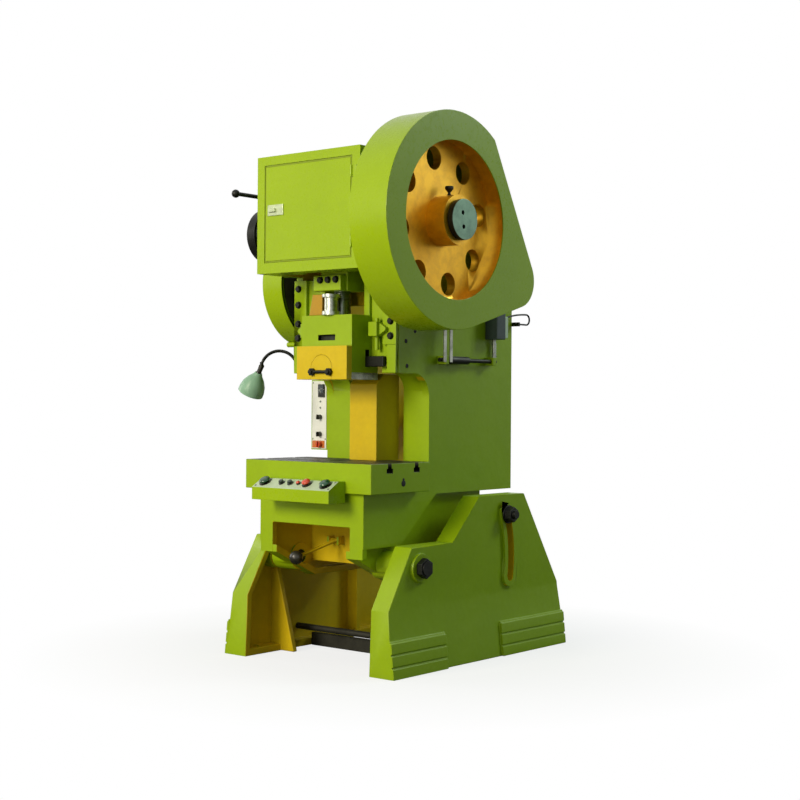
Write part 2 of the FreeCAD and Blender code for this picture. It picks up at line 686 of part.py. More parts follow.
inner = plate_inner + 1
frame_parts += [
    # header over the window of the lower jaw, table, floor of the body
    block(-jaw_window_half - 2, jaw_window_half + 2, S.jaw_front, S.jaw_front + S.web,
          S.jaw_window_top, S.table_z),
    block(-inner, inner, S.jaw_front, S.throat_y + S.web, S.table_z - 34, S.table_z),
    block(-inner, inner, S.waist_y, S.frame_back, S.waist_z, S.waist_z + S.web),
    # web behind the window, and webs behind the slide and at the crown
    block(-inner, inner, -330, -304, S.lug_z + 60, S.table_z - 30),
    block(-inner, inner, S.throat_y, S.throat_y + S.web, slide_top + 60, S.crown_z - 40),
    block(-inner, inner, S.head_front + 4, S.crown_back, S.crown_z - S.web, S.crown_z),
    block(-inner, inner, S.frame_back - S.web, S.frame_back, S.back_top - 190, S.back_top - 14),
]
frame_bores.append(cylinder("z", S.drop_hole + 12, S.table_z - 60, S.table_z + 10, 0, S.crank_y))
node("press_frame", cut(fuse(*frame_parts), *frame_bores))


def bush(side, radius, y, z):
    """A bronze bush in one side of the frame, with a collar outside."""
    x0, x1 = mirrored(side, plate_inner - 24, S.boss_end + 8)
    c0, c1 = mirrored(side, S.boss_end, S.boss_end + 8)
    b0, b1 = mirrored(side, plate_inner - 30, S.boss_end + 20)
    sleeve = fuse(cylinder("x", radius + S.bush_wall, x0, x1, y, z),
                  cylinder("x", radius + S.bush_wall + 12, c0, c1, y, z))
    return cut(sleeve, cylinder("x", radius + S.fit, b0, b1, y, z))


node("bearing_bushes", group(*[bush(side, S.journal, S.crank_y, S.crank_z) for _, side in SIDES],
                             *[bush(side, S.counter, counter_y, counter_z) for _, side in SIDES]))


# ----------------------------------------------------------------------------------------
# Bolster plate with its T-slots
# ----------------------------------------------------------------------------------------
def tee_slot(y):
    """A T-slot along X in the bolster's top."""
    beyond = S.bolster_half + 5
    neck = S.slot_neck / 2
    head = S.slot_head / 2
    mouth = bolster_top + 2
    return prism("x", -beyond, beyond, [
        (y - neck, mouth), (y - neck, bolster_top - 22), (y - head, bolster_top - 22),
        (y - head, bolster_top - 40), (y + head, bolster_top - 40), (y + head, bolster_top - 22),
        (y + neck, bolster_top - 22), (y + neck, mouth)])


bolster_bolt_spots = [(x, y) for x in (-300, 300)
                      for y in (S.bolster_front + 44, S.bolster_back - 30)]
node("bolster_plate", cut(block(-S.bolster_half, S.bolster_half, S.bolster_front, S.bolster_back,
                    S.table_z, bolster_top),
              tee_slot(S.slot_first), tee_slot(S.slot_first + S.slot_pitch),
              cylinder("z", S.drop_hole, S.table_z - 5, bolster_top + 5, 0, S.crank_y),
              *[cylinder("z", 17, bolster_top - 18, bolster_top + 5, x, y)
                for x, y in bolster_bolt_spots]))


# ----------------------------------------------------------------------------------------
# Tilt lock bolts, throat box
# ----------------------------------------------------------------------------------------
def tilt_lock_bolt(side):
    """A stud from the frame's lug through the arc slot, with washer and nut outside."""
    x0, x1 = mirrored(side, lug_inner - 4, S.leg_outer + 62)
    w0, w1 = mirrored(side, S.leg_outer + 12 + S.clearance, S.leg_outer + 20)
    n0, n1 = mirrored(side, S.leg_outer + 20, S.leg_outer + 48)
    return fuse(cylinder("x", S.lock_bolt, x0, x1, lock_y, lock_z),
                cylinder("x", S.lock_slot + 18, w0, w1, lock_y, lock_z),
                hexagon("x", S.lock_bolt + 12, n0, n1, lock_y, lock_z))


node("tilt_lock_bolts", group(*[tilt_lock_bolt(side) for _, side in SIDES]))

throat_back = S.throat_y
node("throat_box", cut(
    prism("x", S.box_left, S.box_right, [
        (S.box_front, bolster_top), (throat_back, bolster_top), (throat_back, S.box_top + 44),
        (S.box_front + 46, S.box_top + 44), (S.box_front, S.box_top)]),
    block(S.box_left + 3, S.box_right - 3, S.box_front + 3, throat_back + 1, bolster_top - 1,
          S.box_top - 6)))


# ----------------------------------------------------------------------------------------
# Slide with its guide ridges, gibs and knock-out
# ----------------------------------------------------------------------------------------
def ridge_plan(side, grow):
    """Plan of a guide ridge, or of the groove round it when grown by a clearance."""
    tip = S.slide_half + S.ear
    return [(side * (S.slide_half - 1), S.ear_front - 1 - grow * 1.5),
            (side * (S.slide_half + grow), S.ear_front - grow * 1.5),
            (side * (tip + grow), S.ear_front + S.ear - grow * 0.5),
            (side * (tip + grow), S.ear_back - S.ear + grow * 0.5),
            (side * (S.slide_half + grow), S.ear_back + grow * 1.5),
            (side * (S.slide_half - 1), S.ear_back + 1 + grow * 1.5)]


nothing = as_size(0)
upper_front = S.slide_front + S.slide_step
slide_block = prism("x", -S.slide_half, S.slide_half, [
    (S.slide_front, S.slide_foot), (S.slide_low_back, S.slide_foot),
    (S.slide_low_back, slide_mid), (S.slide_back, slide_mid), (S.slide_back, slide_top),
    (upper_front, slide_top), (upper_front, slide_mid), (S.slide_front, slide_mid)])
slide_parts = [slide_block]
for _, side in SIDES:
    c0, c1 = mirrored(side, slide_cheek_inner, S.slide_half)
    slide_parts.append(block(c0, c1, S.ear_front - 30, S.slide_back, slide_top - 2, cheek_top))
    slide_parts.append(prism("z", slide_mid + 12, cheek_top, ridge_plan(side, nothing)))

ball_floor = ball_z - S.ball - S.ball_gap
well_half = S.ball + 3
slide_hollows = [
    # the well that the ball end swings in, the bar's slot, the shank bore, the front slot
    block(-well_half, well_half, S.crank_y - well_half, S.crank_y + S.throw + well_half, ball_floor,
          slide_top + 5),
    block(-S.slide_half - 60, S.slide_half + 60, S.crank_y - S.bar_thick / 2 - 1,
          S.crank_y + S.bar_thick / 2 + 1, S.bar_z - S.clearance,
          S.bar_z + S.bar_high + S.bar_lift + 2),
    cylinder("z", S.shank_bore, S.slide_foot - 5, S.bar_z - 4, 0, S.crank_y),
    cylinder("z", S.shank_bore + 3, S.bar_z - 4, S.bar_z + 2, 0, S.crank_y),
    block(-48, 48, upper_front - 5, upper_front + 22, slide_mid + 24, slide_mid + 48),
]
clamp_half = as_size(60)
clamp_top = S.slide_foot + 44
clamp_back = upper_front + 26
slide_hollows.append(prism("y", S.slide_front - 1, clamp_back, [
    (-clamp_half, S.slide_foot - 1), (clamp_half, S.slide_foot - 1), (clamp_half, clamp_top),
    (-clamp_half, clamp_top)]))
slide_hollows.append(cylinder("y", clamp_half, S.slide_front - 1, clamp_back, 0, clamp_top))
slide_hollows.append(block(-clamp_half, clamp_half, clamp_back - 1, S.crank_y, S.slide_foot - 1,
                           clamp_top))
node("slide", cut(fuse(*slide_parts), *slide_hollows))

# The arched die clamp fills the pocket in the slide's lower front, back to the middle of the bore.
clamp_fit = as_size(0.6)
clamp_edge = clamp_half - clamp_fit
node("shank_clamp", cut(
    fuse(block(-clamp_edge, clamp_edge, S.slide_front, S.crank_y, S.slide_foot, clamp_top),
         cylinder("y", clamp_edge, S.slide_front, clamp_back, 0, clamp_top)),
    block(-clamp_edge, clamp_edge, S.slide_front - 1, S.crank_y, S.slide_foot - 80, S.slide_foot),
    cylinder("z", S.shank_bore, S.slide_foot - 5, S.bar_z, 0, S.crank_y)))


def clamp_nut(x):
    """A nut on its stud at the front of the die clamp."""
    z = S.slide_foot + 32
    return fuse(cylinder("y", 9, S.slide_front - 22, S.slide_front, x, z),
                hexagon("y", 15, S.slide_front - 14, S.slide_front, x, z))


node("clamp_nuts", group(clamp_nut(-48), clamp_nut(48),
                         cylinder("x", 7, -32, 32, S.slide_front - 7, S.slide_foot + 32)))

# At the front of the slide's top stand a tapered cap, at the left, and the adjusting spool.
spool_top = rod_foot - 15
node("slide_cap", prism("y", upper_front + 6, S.crank_y - well_half - 2, [
    (-108, slide_top), (S.spool_x - S.spool - 2, slide_top), (S.spool_x - S.spool - 2, rod_foot - 14),
    (-88, rod_foot - 14)]))
node("lock_ring", fuse(
    cylinder("z", S.spool, slide_top, slide_top + 16, S.spool_x, S.spool_y),
    cylinder("z", S.spool - 10, slide_top + 15, spool_top - 13, S.spool_x, S.spool_y),
    cylinder("z", S.spool, spool_top - 14, spool_top, S.spool_x, S.spool_y)))

node("knockout_bar", block(-S.bar_half, S.bar_half, S.crank_y - S.bar_thick / 2,
                           S.crank_y + S.bar_thick / 2, S.bar_z, S.bar_z + S.bar_high))


def gib(side):
    """A gib with its V groove, and the keeper plates that hold it from the front."""
    x0, x1 = mirrored(side, S.slide_half + S.slide_gap, plate_inner)
    main = block(x0, x1, S.guide_front, S.slide_back + 8, S.gib_foot, S.gib_top)
    groove = prism("z", S.gib_foot - 5, S.gib_top + 5, ridge_plan(side, S.slide_gap))
    f0, f1 = mirrored(side, plate_inner - 38, S.frame_half - 2)
    keeper_foot = slide_mid + 6
    keeper = block(f0, f1, S.guide_front - 18, S.guide_front, keeper_foot, S.gib_top)
    # Below it a narrower strip passes the knock-out bar and meets the throat's ceiling.
    s0, s1 = mirrored(side, S.bar_half + 4, S.frame_half - 2)
    strip = block(s0, s1, S.guide_front - 18, S.guide_front, S.throat_top, keeper_foot)
    return [cut(main, groove), keeper, strip]


node("gibs", group(*gib(-1), *gib(1)))

# The hexagon bolts of the gibs and of the bolster plate
gib_bolt_x = S.frame_half - 29
frame_bolts = [hexagon("z", 12, bolster_top - 18, bolster_top - 6, x, y) for x, y in bolster_bolt_spots]
for _, side in SIDES:
    for z in (1375, 1437, 1520, 1590):
        frame_bolts.append(hexagon("y", 12, S.guide_front - 30, S.guide_front - 18,
                                   side * gib_bolt_x, z))
node("frame_bolts", group(*frame_bolts))

bar_stop_x = S.bar_half - 44


def stop_bracket(side):
    """A bracket on the gib that holds the stop screw over one end of the knock-out bar."""
    x0, x1 = mirrored(side, bar_stop_x - 23, bar_stop_x + 23)
    front = S.crank_y - 30
    head = block(x0, x1, front, S.guide_front, 1374, 1434)
    tip = side * (plate_inner - 6)
    near = side * (bar_stop_x + 22)
    arm = prism("y", S.guide_front - 38, S.guide_front - 18, [
        (near, 1378), (tip, 1398), (tip, 1410), (near, 1430)])
    screw = cylinder("z", 9, S.bar_z + S.bar_high + S.bar_lift, 1450, side * bar_stop_x, S.crank_y)
    return fuse(head, arm, screw)


node("stop_brackets", group(*[stop_bracket(side) for _, side in SIDES]))


# ----------------------------------------------------------------------------------------
# Crankshaft, connecting rod and adjusting screw, at the top of the stroke
# ----------------------------------------------------------------------------------------
web_end = S.pin_half + S.crank_web
crank_parts = [cylinder("x", S.pin, -S.pin_half - 1, S.pin_half + 1, S.crank_y, pin_z)]
for _, side in SIDES:
    w0, w1 = mirrored(side, S.pin_half, web_end)
    crank_parts.append(cylinder("x", S.crank_disc, w0, w1, S.crank_y, S.crank_z + 14))
j0 = -(S.boss_end + 140)
crank_parts.append(cylinder("x", S.journal, j0, -web_end + 1, S.crank_y, S.crank_z))
crank_parts.append(cylinder("x", S.journal, web_end - 1, S.hub_end + 4, S.crank_y, S.crank_z))
end_out = S.hub_end + 4 + S.end_plate_thick
crank_parts.append(cylinder("x", S.end_plate, S.hub_end + 4, end_out, S.crank_y, S.crank_z))
key_holes = [cylinder("x", 9, end_out - 14, end_out + 2, S.crank_y + dy, S.crank_z + dz)
             for dy, dz in ((-14, 26), (-8, -30))]
node("crankshaft", cut(fuse(*crank_parts), *key_holes))

drum_in = -(S.boss_end + 26)
drum_out = j0 + 2
node("brake_drum", cut(
    fuse(cylinder("x", 112, drum_out, drum_out + 62, S.crank_y, S.crank_z),
         cylinder("x", 76, drum_out + 60, drum_in, S.crank_y, S.crank_z)),
    cylinder("x", S.journal, drum_out - 2, drum_in + 2, S.crank_y, S.crank_z),
    cut(cylinder("x", 98, drum_out - 1, drum_out + 12, S.crank_y, S.crank_z),
        cylinder("x", 74, drum_out - 2, drum_out + 13, S.crank_y, S.crank_z))))

rod_half_thick = as_size(54)
rod = fuse(
    cylinder("x", S.rod_eye, -(S.pin_half - 3), S.pin_half - 3, S.crank_y, pin_z),
    prism("y", S.crank_y - rod_half_thick, S.crank_y + rod_half_thick, [
        (-(S.pin_half - 3), pin_z), (-(S.pin_half - 3), pin_z - 156), (-S.rod_half, rod_foot + S.rod_head + 20),
        (-S.rod_half, rod_foot), (S.rod_half, rod_foot), (S.rod_half, rod_foot + S.rod_head + 20),
        (S.pin_half - 3, pin_z - 156), (S.pin_half - 3, pin_z)]))
node("connecting_rod", cut(
    rod, cylinder("x", S.pin + S.fit, -S.pin_half - 5, S.pin_half + 5, S.crank_y, pin_z),
    cylinder("z", S.screw, rod_foot - 5, rod_foot + 150, 0, S.crank_y)))
cap_front = S.crank_y - rod_half_thick - 38
node("rod_cap", prism("y", cap_front, S.crank_y - rod_half_thick, [
    (-85, rod_foot), (70, rod_foot), (70, rod_foot + S.rod_head), (-85, rod_foot + S.rod_head)]))
node("rod_bolts", group(*[
    hexagon("y", 12, cap_front - 12, cap_front, x, rod_foot + S.rod_head - 20)
    for x in (-44, 0, 44)]))
node("ball_screw", fuse(
    cylinder("z", S.screw, ball_z, rod_foot + 150, 0, S.crank_y),
    ball(S.ball, 0, S.crank_y, ball_z)))


# ----------------------------------------------------------------------------------------
# Gear train: bull gear, pinion, countershaft and flywheel
# ----------------------------------------------------------------------------------------
def involute(base_radius, radius):
    """Polar angle of an involute from its root on the base circle, in radians."""
    if radius <= base_radius:
        return 0.0
    pressure = math.acos(base_radius / radius)
    return math.tan(pressure) - pressure


def gear_blank(teeth, module, start, end, turn, steps):
    """A spur gear's toothed disc along X, as a closed polygon swept from start to end.
    turn is the angle of the first tooth's middle from +Y towards +Z, in radians."""
    pitch_radius = module * teeth / 2
    base_radius = pitch_radius * math.cos(math.radians(20))
    tip_radius = pitch_radius + 0.92 * module
    root_radius = pitch_radius - 1.2 * module
    # half a tooth at the pitch circle, thinned a little so that the flanks run free
    half_pitch = math.pi / (2 * teeth) - 0.055 * module / pitch_radius
    at_pitch = involute(base_radius, pitch_radius)
    radii = [root_radius] + [pitch_radius + module * (0.92 * step / steps - 0.75 * (1 - step / steps))
                             for step in range(steps + 1)]
    points = []
    for tooth in range(teeth):
        middle = turn + 2 * math.pi * tooth / teeth
        flank = [(radius, half_pitch + at_pitch - involute(base_radius, radius)) for radius in radii]
        flank[-1] = (tip_radius, flank[-1][1])
        for radius, angle in flank:
            points.append((radius, middle - angle))
        for radius, angle in reversed(flank):
            points.append((radius, middle + angle))
    wire = Part.makePolygon([Vector(start, radius * math.cos(angle), radius * math.sin(angle))
                             for radius, angle in points + points[:1]])
    return Part.Face(wire).extrude(Vector(end - start, 0, 0))


# The line from the crank axis to the countershaft passes through the middle of a gear tooth.
mesh_angle = -math.radians(S.shaft_drop.number)
gear_shape = gear_blank(int(S.gear_z.number), S.module.number, S.gear_in.number, S.gear_out.number,
                        mesh_angle, 2)
gear_disc = solid(gear_shape)
place(gear_disc, 0, S.crank_y, S.crank_z)
rim_inner = S.module * S.gear_z / 2 - 36
hub_bush = S.journal + 12
gear = cut(fuse(cut(gear_disc,
                    cylinder("x", rim_inner, S.gear_in + S.gear_web, S.gear_out + 1, S.crank_y,
                             S.crank_z)),
                cylinder("x", S.gear_hub, S.gear_in - 24, S.hub_end, S.crank_y, S.crank_z)),
           cylinder("x", S.journal + S.fit, S.gear_in - 40, S.hub_end + 5, S.crank_y, S.crank_z),
           *[cylinder("x", S.gear_hole, S.gear_in - 2, S.gear_in + S.gear_web + 2,
                      S.crank_y + S.gear_hole_ring * cosine(11 + 45 * hole),
                      S.crank_z + S.gear_hole_ring * sine(11 + 45 * hole)) for hole in range(8)])
node("bull_gear", gear)

pinion_turn = mesh_angle + math.pi + math.pi / S.pinion_z.number
pinion_shape = gear_blank(int(S.pinion_z.number), S.module.number, S.gear_in.number - 4,
                          S.gear_out.number + 2, pinion_turn, 4)
pinion_disc = solid(pinion_shape)
place(pinion_disc, 0, counter_y, counter_z)
node("pinion", cut(fuse(pinion_disc),
                   cylinder("x", S.counter, S.gear_in - 20, S.gear_out + 20, counter_y, counter_z)))
wheel_out = S.wheel_in + S.wheel_wide
node("countershaft", cylinder("x", S.counter, -(wheel_out + 6), S.gear_out + 2, counter_y, counter_z))

flywheel_tools = [cylinder("x", S.counter, -wheel_out - 10, -S.wheel_in + 10, counter_y, counter_z)]
for recess0, recess1 in ((-wheel_out - 1, -wheel_out + 34), (-S.wheel_in - 34, -S.wheel_in + 1)):
    flywheel_tools.append(cut(cylinder("x", S.wheel - 38, recess0, recess1, counter_y, counter_z),
                              cylinder("x", 78, recess0 - 1, recess1 + 1, counter_y, counter_z)))
groove_pitch = 20
for groove in range(4):
    x = -(S.wheel_in + 20 + groove_pitch * groove)
    flywheel_tools.append(cut(cylinder("x", S.wheel + 5, x - 7, x + 7, counter_y, counter_z),
                              cylinder("x", S.wheel - 11, x - 8, x + 8, counter_y, counter_z)))
node("flywheel", cut(cylinder("x", S.wheel, -wheel_out, -S.wheel_in, counter_y, counter_z),
                     *flywheel_tools))


# ----------------------------------------------------------------------------------------
# Outlines made of arcs and tangents: gear cover, belt guard and belts
# ----------------------------------------------------------------------------------------
def on_circle(centre, radius, angle, x=0.0):
    """A point on a circle in the YZ plane; the angle runs from +Y towards +Z."""
    return Vector(x, centre[0] + radius * math.cos(angle), centre[1] + radius * math.sin(angle))


def teardrop_wire(x):
    """The gear cover's outline: a circle, a straight rear edge, a rounded corner and a foot."""
    centre = (S.crank_y.number, S.crank_z.number)
    radius = S.guard.number
    top_angle = math.radians(54)
    foot_angle = math.radians(-74)
    top = on_circle(centre, radius, top_angle, x)
    foot = on_circle(centre, radius, foot_angle, x)
    rear_way = Vector(0, 0.476, -0.879)
    foot_way = Vector(0, math.cos(foot_angle + math.pi / 2), math.sin(foot_angle + math.pi / 2))
    # Where the rear edge and the foot's tangent cross
    across = foot.sub(top)
    cross = rear_way.y * foot_way.z - rear_way.z * foot_way.y
    along = (across.y * foot_way.z - across.z * foot_way.y) / cross
    corner = Vector(x, top.y + rear_way.y * along, top.z + rear_way.z * along)
    into = Vector(0, -0.476, 0.879)
    back = Vector(0, foot.y - corner.y, foot.z - corner.z).normalize()
    half_turn = into.getAngle(back) / 2
    reach = S.guard_corner.number / math.tan(half_turn)
    first = corner.add(Vector(0, into.y * reach, into.z * reach))
    last = corner.add(Vector(0, back.y * reach, back.z * reach))
    bisector = Vector(0, into.y + back.y, into.z + back.z).normalize()
    depth = S.guard_corner.number / math.sin(half_turn)
    middle = corner.add(Vector(0, bisector.y * (depth - S.guard_corner.number),
                               bisector.z * (depth - S.guard_corner.number)))
    front = on_circle(centre, radius, math.pi, x)
    return Part.Wire([
        Part.LineSegment(top, first).toShape(), Part.Arc(first, middle, last).toShape(),
        Part.LineSegment(last, foot).toShape(), Part.Arc(foot, front, top).toShape()])


def loop_wire(x, centre_a, radius_a, centre_b, radius_b):
    """The outline of a belt round two wheels: two arcs and their outer tangents."""
    way = math.atan2(centre_b[1] - centre_a[1], centre_b[0] - centre_a[0])
    distance = math.hypot(centre_b[0] - centre_a[0], centre_b[1] - centre_a[1])
    swing = math.acos((radius_a - radius_b) / distance)
    a_high, a_low = (on_circle(centre_a, radius_a, way + swing, x),
                     on_circle(centre_a, radius_a, way - swing, x))
    b_high, b_low = (on_circle(centre_b, radius_b, way + swing, x),
                     on_circle(centre_b, radius_b, way - swing, x))
    return Part.Wire([
        Part.Arc(a_high, on_circle(centre_a, radius_a, way + math.pi, x), a_low).toShape(),
        Part.LineSegment(a_low, b_low).toShape(),
        Part.Arc(b_low, on_circle(centre_b, radius_b, way, x), b_high).toShape(),
        Part.LineSegment(b_high, a_high).toShape()])


def extruded(wire, depth):
    """A solid from a closed wire in the YZ plane, along X."""
    return Part.Face(wire).extrude(Vector(depth, 0, 0))


guard_wide = S.guard_out.number - S.guard_in.number
sheet_thick = S.guard_sheet.number
guard_wire = teardrop_wire(S.guard_in.number)
guard_inner_wire = guard_wire.makeOffset2D(-sheet_thick)
guard_shape = extruded(guard_wire, guard_wide).cut(
    extruded(guard_inner_wire, guard_wide - sheet_thick))
guard_cover = solid(guard_shape)
guard_back = solid(extruded(guard_wire, sheet_thick))
# The back sheet is open round the gear's hub and the countershaft.
back_open = [cylinder("x", 200, S.guard_in - 2, S.guard_in + 12, S.crank_y, S.crank_z),
             cylinder("x", S.counter + 14, S.guard_in - 2, S.guard_in + 12, counter_y, counter_z)]
window = cylinder("x", S.guard_window, S.guard_out - 12, S.guard_out + 5, S.crank_y, S.crank_z)
node("gear_cover", group(fuse(cut(guard_cover, window), cut(guard_back, *back_open)), *[
    cylinder("x", 13, S.frame_half, S.guard_in, S.crank_y + dy, S.crank_z + dz)
    for dy, dz in ((240, 90), (60, 250), (90, -260), (330, -90))]))

wheel_centre = (counter_y.number, counter_z.number)
motor_centre = (S.motor_y.number, S.motor_z.number)
guard_margin = 8
guard_depth = S.wheel_wide.number + 2 * guard_margin + 2
outer_loop = loop_wire(-(wheel_out.number + guard_margin), wheel_centre, S.belt_guard.number, motor_centre,
                       S.pulley.number + 32)
inner_loop = loop_wire(-(wheel_out.number + guard_margin), wheel_centre, S.belt_guard.number - 3,
                       motor_centre, S.pulley.number + 29)
guard_belt = extruded(outer_loop, guard_depth).cut(extruded(inner_loop, guard_depth))
stay = as_size(12)
node("belt_guard", group(solid(guard_belt), *[
    cylinder("x", stay, -(wheel_out + guard_margin), -S.frame_half,
             counter_y + (S.belt_guard + stay) * cosine(angle),
             counter_z + (S.belt_guard + stay) * sine(angle)) for angle in (73, 248)]))

belt_run = S.wheel_wide.number - 24
belt_x = -(S.wheel_in.number + 12 + belt_run)
running = 0.3
outer_belt = loop_wire(belt_x, wheel_centre, S.wheel.number + S.belt.number, motor_centre,
                       S.pulley.number + S.belt.number)
inner_belt = loop_wire(belt_x, wheel_centre, S.wheel.number + running, motor_centre,
                       S.pulley.number + running)
belt_band = extruded(outer_belt, belt_run).cut(extruded(inner_belt, belt_run))
belt_gaps = [block(-(S.wheel_in + 31 + groove_pitch * gap_number), -(S.wheel_in + 29 + groove_pitch * gap_number),
                   -400, 800, 1000, 2000) for gap_number in range(3)]
node("drive_belts", cut(solid(belt_band), *belt_gaps))

# ----------------------------------------------------------------------------------------
# Motor on its bracket at the frame's back
# ----------------------------------------------------------------------------------------
pulley_out = wheel_out - 4
motor_start = -S.motor_front
motor_end = motor_start + S.motor_long
stub_start = motor_start - 18
node("motor_pulley", fuse(
    cylinder("x", S.pulley, -pulley_out, -(S.wheel_in + 4), S.motor_y, S.motor_z),
    cylinder("x", 19, -(S.wheel_in + 5), stub_start - 0.3, S.motor_y, S.motor_z)))
motor_feet = [block(motor_start + 10, motor_end - 50, S.motor_y - 95, S.motor_y + 95,
                    S.motor_z - S.motor - 8, S.motor_z - S.motor + 30)]
fins = [cylinder("x", S.motor + 6, motor_start + 40 + 20 * fin, motor_start + 46 + 20 * fin, S.motor_y,
                 S.motor_z) for fin in range(9)]
node("motor", fuse(
    cylinder("x", S.motor, motor_start, motor_end, S.motor_y, S.motor_z),
    cylinder("x", S.motor - 30, stub_start, motor_start + 2, S.motor_y, S.motor_z),
    cylinder("x", S.motor + 8, motor_end - 50, motor_end + 14, S.motor_y, S.motor_z),
    block(motor_start + 80, motor_start + 180, S.motor_y - 50, S.motor_y + 50, S.motor_z + S.motor - 10,
          S.motor_z + S.motor + 52), *fins, *motor_feet))
platform_top = S.motor_z - S.motor - 8
node("motor_bracket", fuse(
    block(motor_start, motor_end + 20, S.frame_back, S.motor_y + 110, platform_top - 16, platform_top),
    block(motor_start, 200, S.frame_back, S.frame_back + 16, platform_top - 150, platform_top),
    *[prism("x", x, x + 14, [(S.frame_back + 10, platform_top - 148), (S.motor_y + 90, platform_top - 10),
                             (S.frame_back + 10, platform_top - 10)])
      for x in (motor_start + 20, motor_end - 50)]))

# ----------------------------------------------------------------------------------------
# Crank cover with its door
# ----------------------------------------------------------------------------------------
sheet_in = S.sheet_metal
cover_back = S.head_front
cover_box = block(-S.cover_half, S.cover_half, S.cover_front, cover_back, S.cover_foot, S.cover_top)
cover_hollow = block(-(S.cover_half - sheet_in), S.cover_half - sheet_in, S.cover_front + sheet_in,
                     cover_back + 5, S.cover_foot + sheet_in, S.cover_top - sheet_in)
door_gap = as_size(1.5)
door_hole = block(-(S.door_half + door_gap), S.door_half + door_gap, S.cover_front - 5,
                  S.cover_front + 30, S.door_foot - door_gap, S.door_top + door_gap)
rod_hole = block(-120, 120, S.crank_y - 140, cover_back + 6, S.cover_foot - 2, S.cover_foot + 8)
hinge_x = S.door_half + 0.7
hinge_y = S.cover_front - 5
barrels = [fuse(cylinder("z", 4.5, z, z + 46, hinge_x + 0, hinge_y),
                block(hinge_x + 1, hinge_x + 26, S.cover_front - 3, S.cover_front, z, z + 46))
           for z in (S.door_foot + 40, S.door_top - 86)]
node("crank_cover", fuse(cut(cover_box, cover_hollow, door_hole, rod_hole), *barrels))
node("cover_door", block(-S.door_half, S.door_half, S.cover_front, S.cover_front + sheet_in,
                         S.door_foot, S.door_top))
node("door_handle", fuse(
    block(-226, -136, S.cover_front - 4, S.cover_front, 1884, 1930),
    block(-216, -178, S.cover_front - 13, S.cover_front - 4, 1899, 1915)))


# ----------------------------------------------------------------------------------------
# Brake band over the drum, at the left
# ----------------------------------------------------------------------------------------
band0 = drum_out + 6
band1 = drum_out + 54
drum = 112
lever_rod_z = S.crank_z + drum + 56
lever_ball_y = S.crank_y - 210
band_ring = cut(cylinder("x", drum + 7, band0, band1, S.crank_y, S.crank_z),
                cylinder("x", drum + S.clearance, band0 - 1, band1 + 1, S.crank_y, S.crank_z))
node("brake_band", fuse(
    band_ring,
    block(band0, band1, S.crank_y - 34, S.crank_y - 8, S.crank_z + drum + 3, lever_rod_z + 18),
    block(band0, band1, S.crank_y + 8, S.crank_y + 34, S.crank_z + drum + 3, lever_rod_z + 18),
    cylinder("y", 9, lever_ball_y, S.crank_y + 60, (band0 + band1) / 2, lever_rod_z),
    ball(18, (band0 + band1) / 2, lever_ball_y, lever_rod_z),
    block(band0 + 10, -S.frame_half, S.crank_y + drum + 1, S.crank_y + drum + 30,
          S.crank_z - 22, S.crank_z + 22)))


# ----------------------------------------------------------------------------------------
# Control desk with its push buttons
# ----------------------------------------------------------------------------------------
desk_wall = as_size(3)
desk_outline = [(S.desk_front, S.desk_foot), (S.desk_front, desk_lip), (S.desk_ridge, desk_top),
                (S.bolster_front, desk_top), (S.bolster_front, S.desk_foot)]
desk_inner = [(S.desk_front + 3, S.desk_foot + 3), (S.desk_front + 3, desk_lip - 2),
              (S.desk_ridge + 1, desk_top - 3.2), (S.bolster_front - 3, desk_top - 3),
              (S.bolster_front - 3, S.desk_foot + 3)]
slope_run = S.desk_ridge - S.desk_front
slope_rise = desk_top - desk_lip
slope_degrees = math.degrees(math.atan2(slope_rise.number, slope_run.number))
button_y = S.desk_front + slope_run * 0.55
button_z = desk_lip + slope_rise * 0.55
SLOPE = FreeCAD.Rotation(Vector(1, 0, 0), slope_degrees)


def on_slope(radius, low, high, x, shape="Part::Cylinder"):
    """A cylinder square to the sloping face, between two heights over it."""
    thing = doc.addObject(shape, working_name("button"))
    bind(thing, "Radius", radius)
    bind(thing, "Height", as_size(high) - low)
    thing.Placement = FreeCAD.Placement(Vector(0, 0, 0), SLOPE)
    place(thing, x, button_y - as_size(low) * math.sin(math.radians(slope_degrees)),
          button_z + as_size(low) * math.cos(math.radians(slope_degrees)))
    return thing


BUTTONS = (
    # name, place along X, cap radius, cap height
    ("left_palm_button", -S.palm_x, 24, 12),
    ("right_palm_button", S.palm_x, 24, 12),
    ("left_jog_button", as_size(-75), 11, 6),
    ("right_jog_button", as_size(-25), 11, 6),
    ("emergency_stop", as_size(68), 19, 14),
)
desk_body = cut(prism("x", -S.desk_half, S.desk_half, desk_outline),
                prism("x", -(S.desk_half - desk_wall), S.desk_half - desk_wall, desk_inner))
collars = []
stem_holes = []
for name, x, cap, high in BUTTONS:
    collars.append(on_slope(cap + 3, -1, 3, x))
    stem_holes.append(on_slope(6.5, -12, 12, x))
pilot_lamp = on_slope(9, -1, 8, as_size(21))
node("control_desk", cut(fuse(desk_body, *collars, pilot_lamp), *stem_holes))
for name, x, cap, high in BUTTONS:
    foot = 3 + S.press_travel + 0.5
    node(name, fuse(on_slope(6, -10, foot + 1, x), on_slope(cap, foot, foot + high, x)))

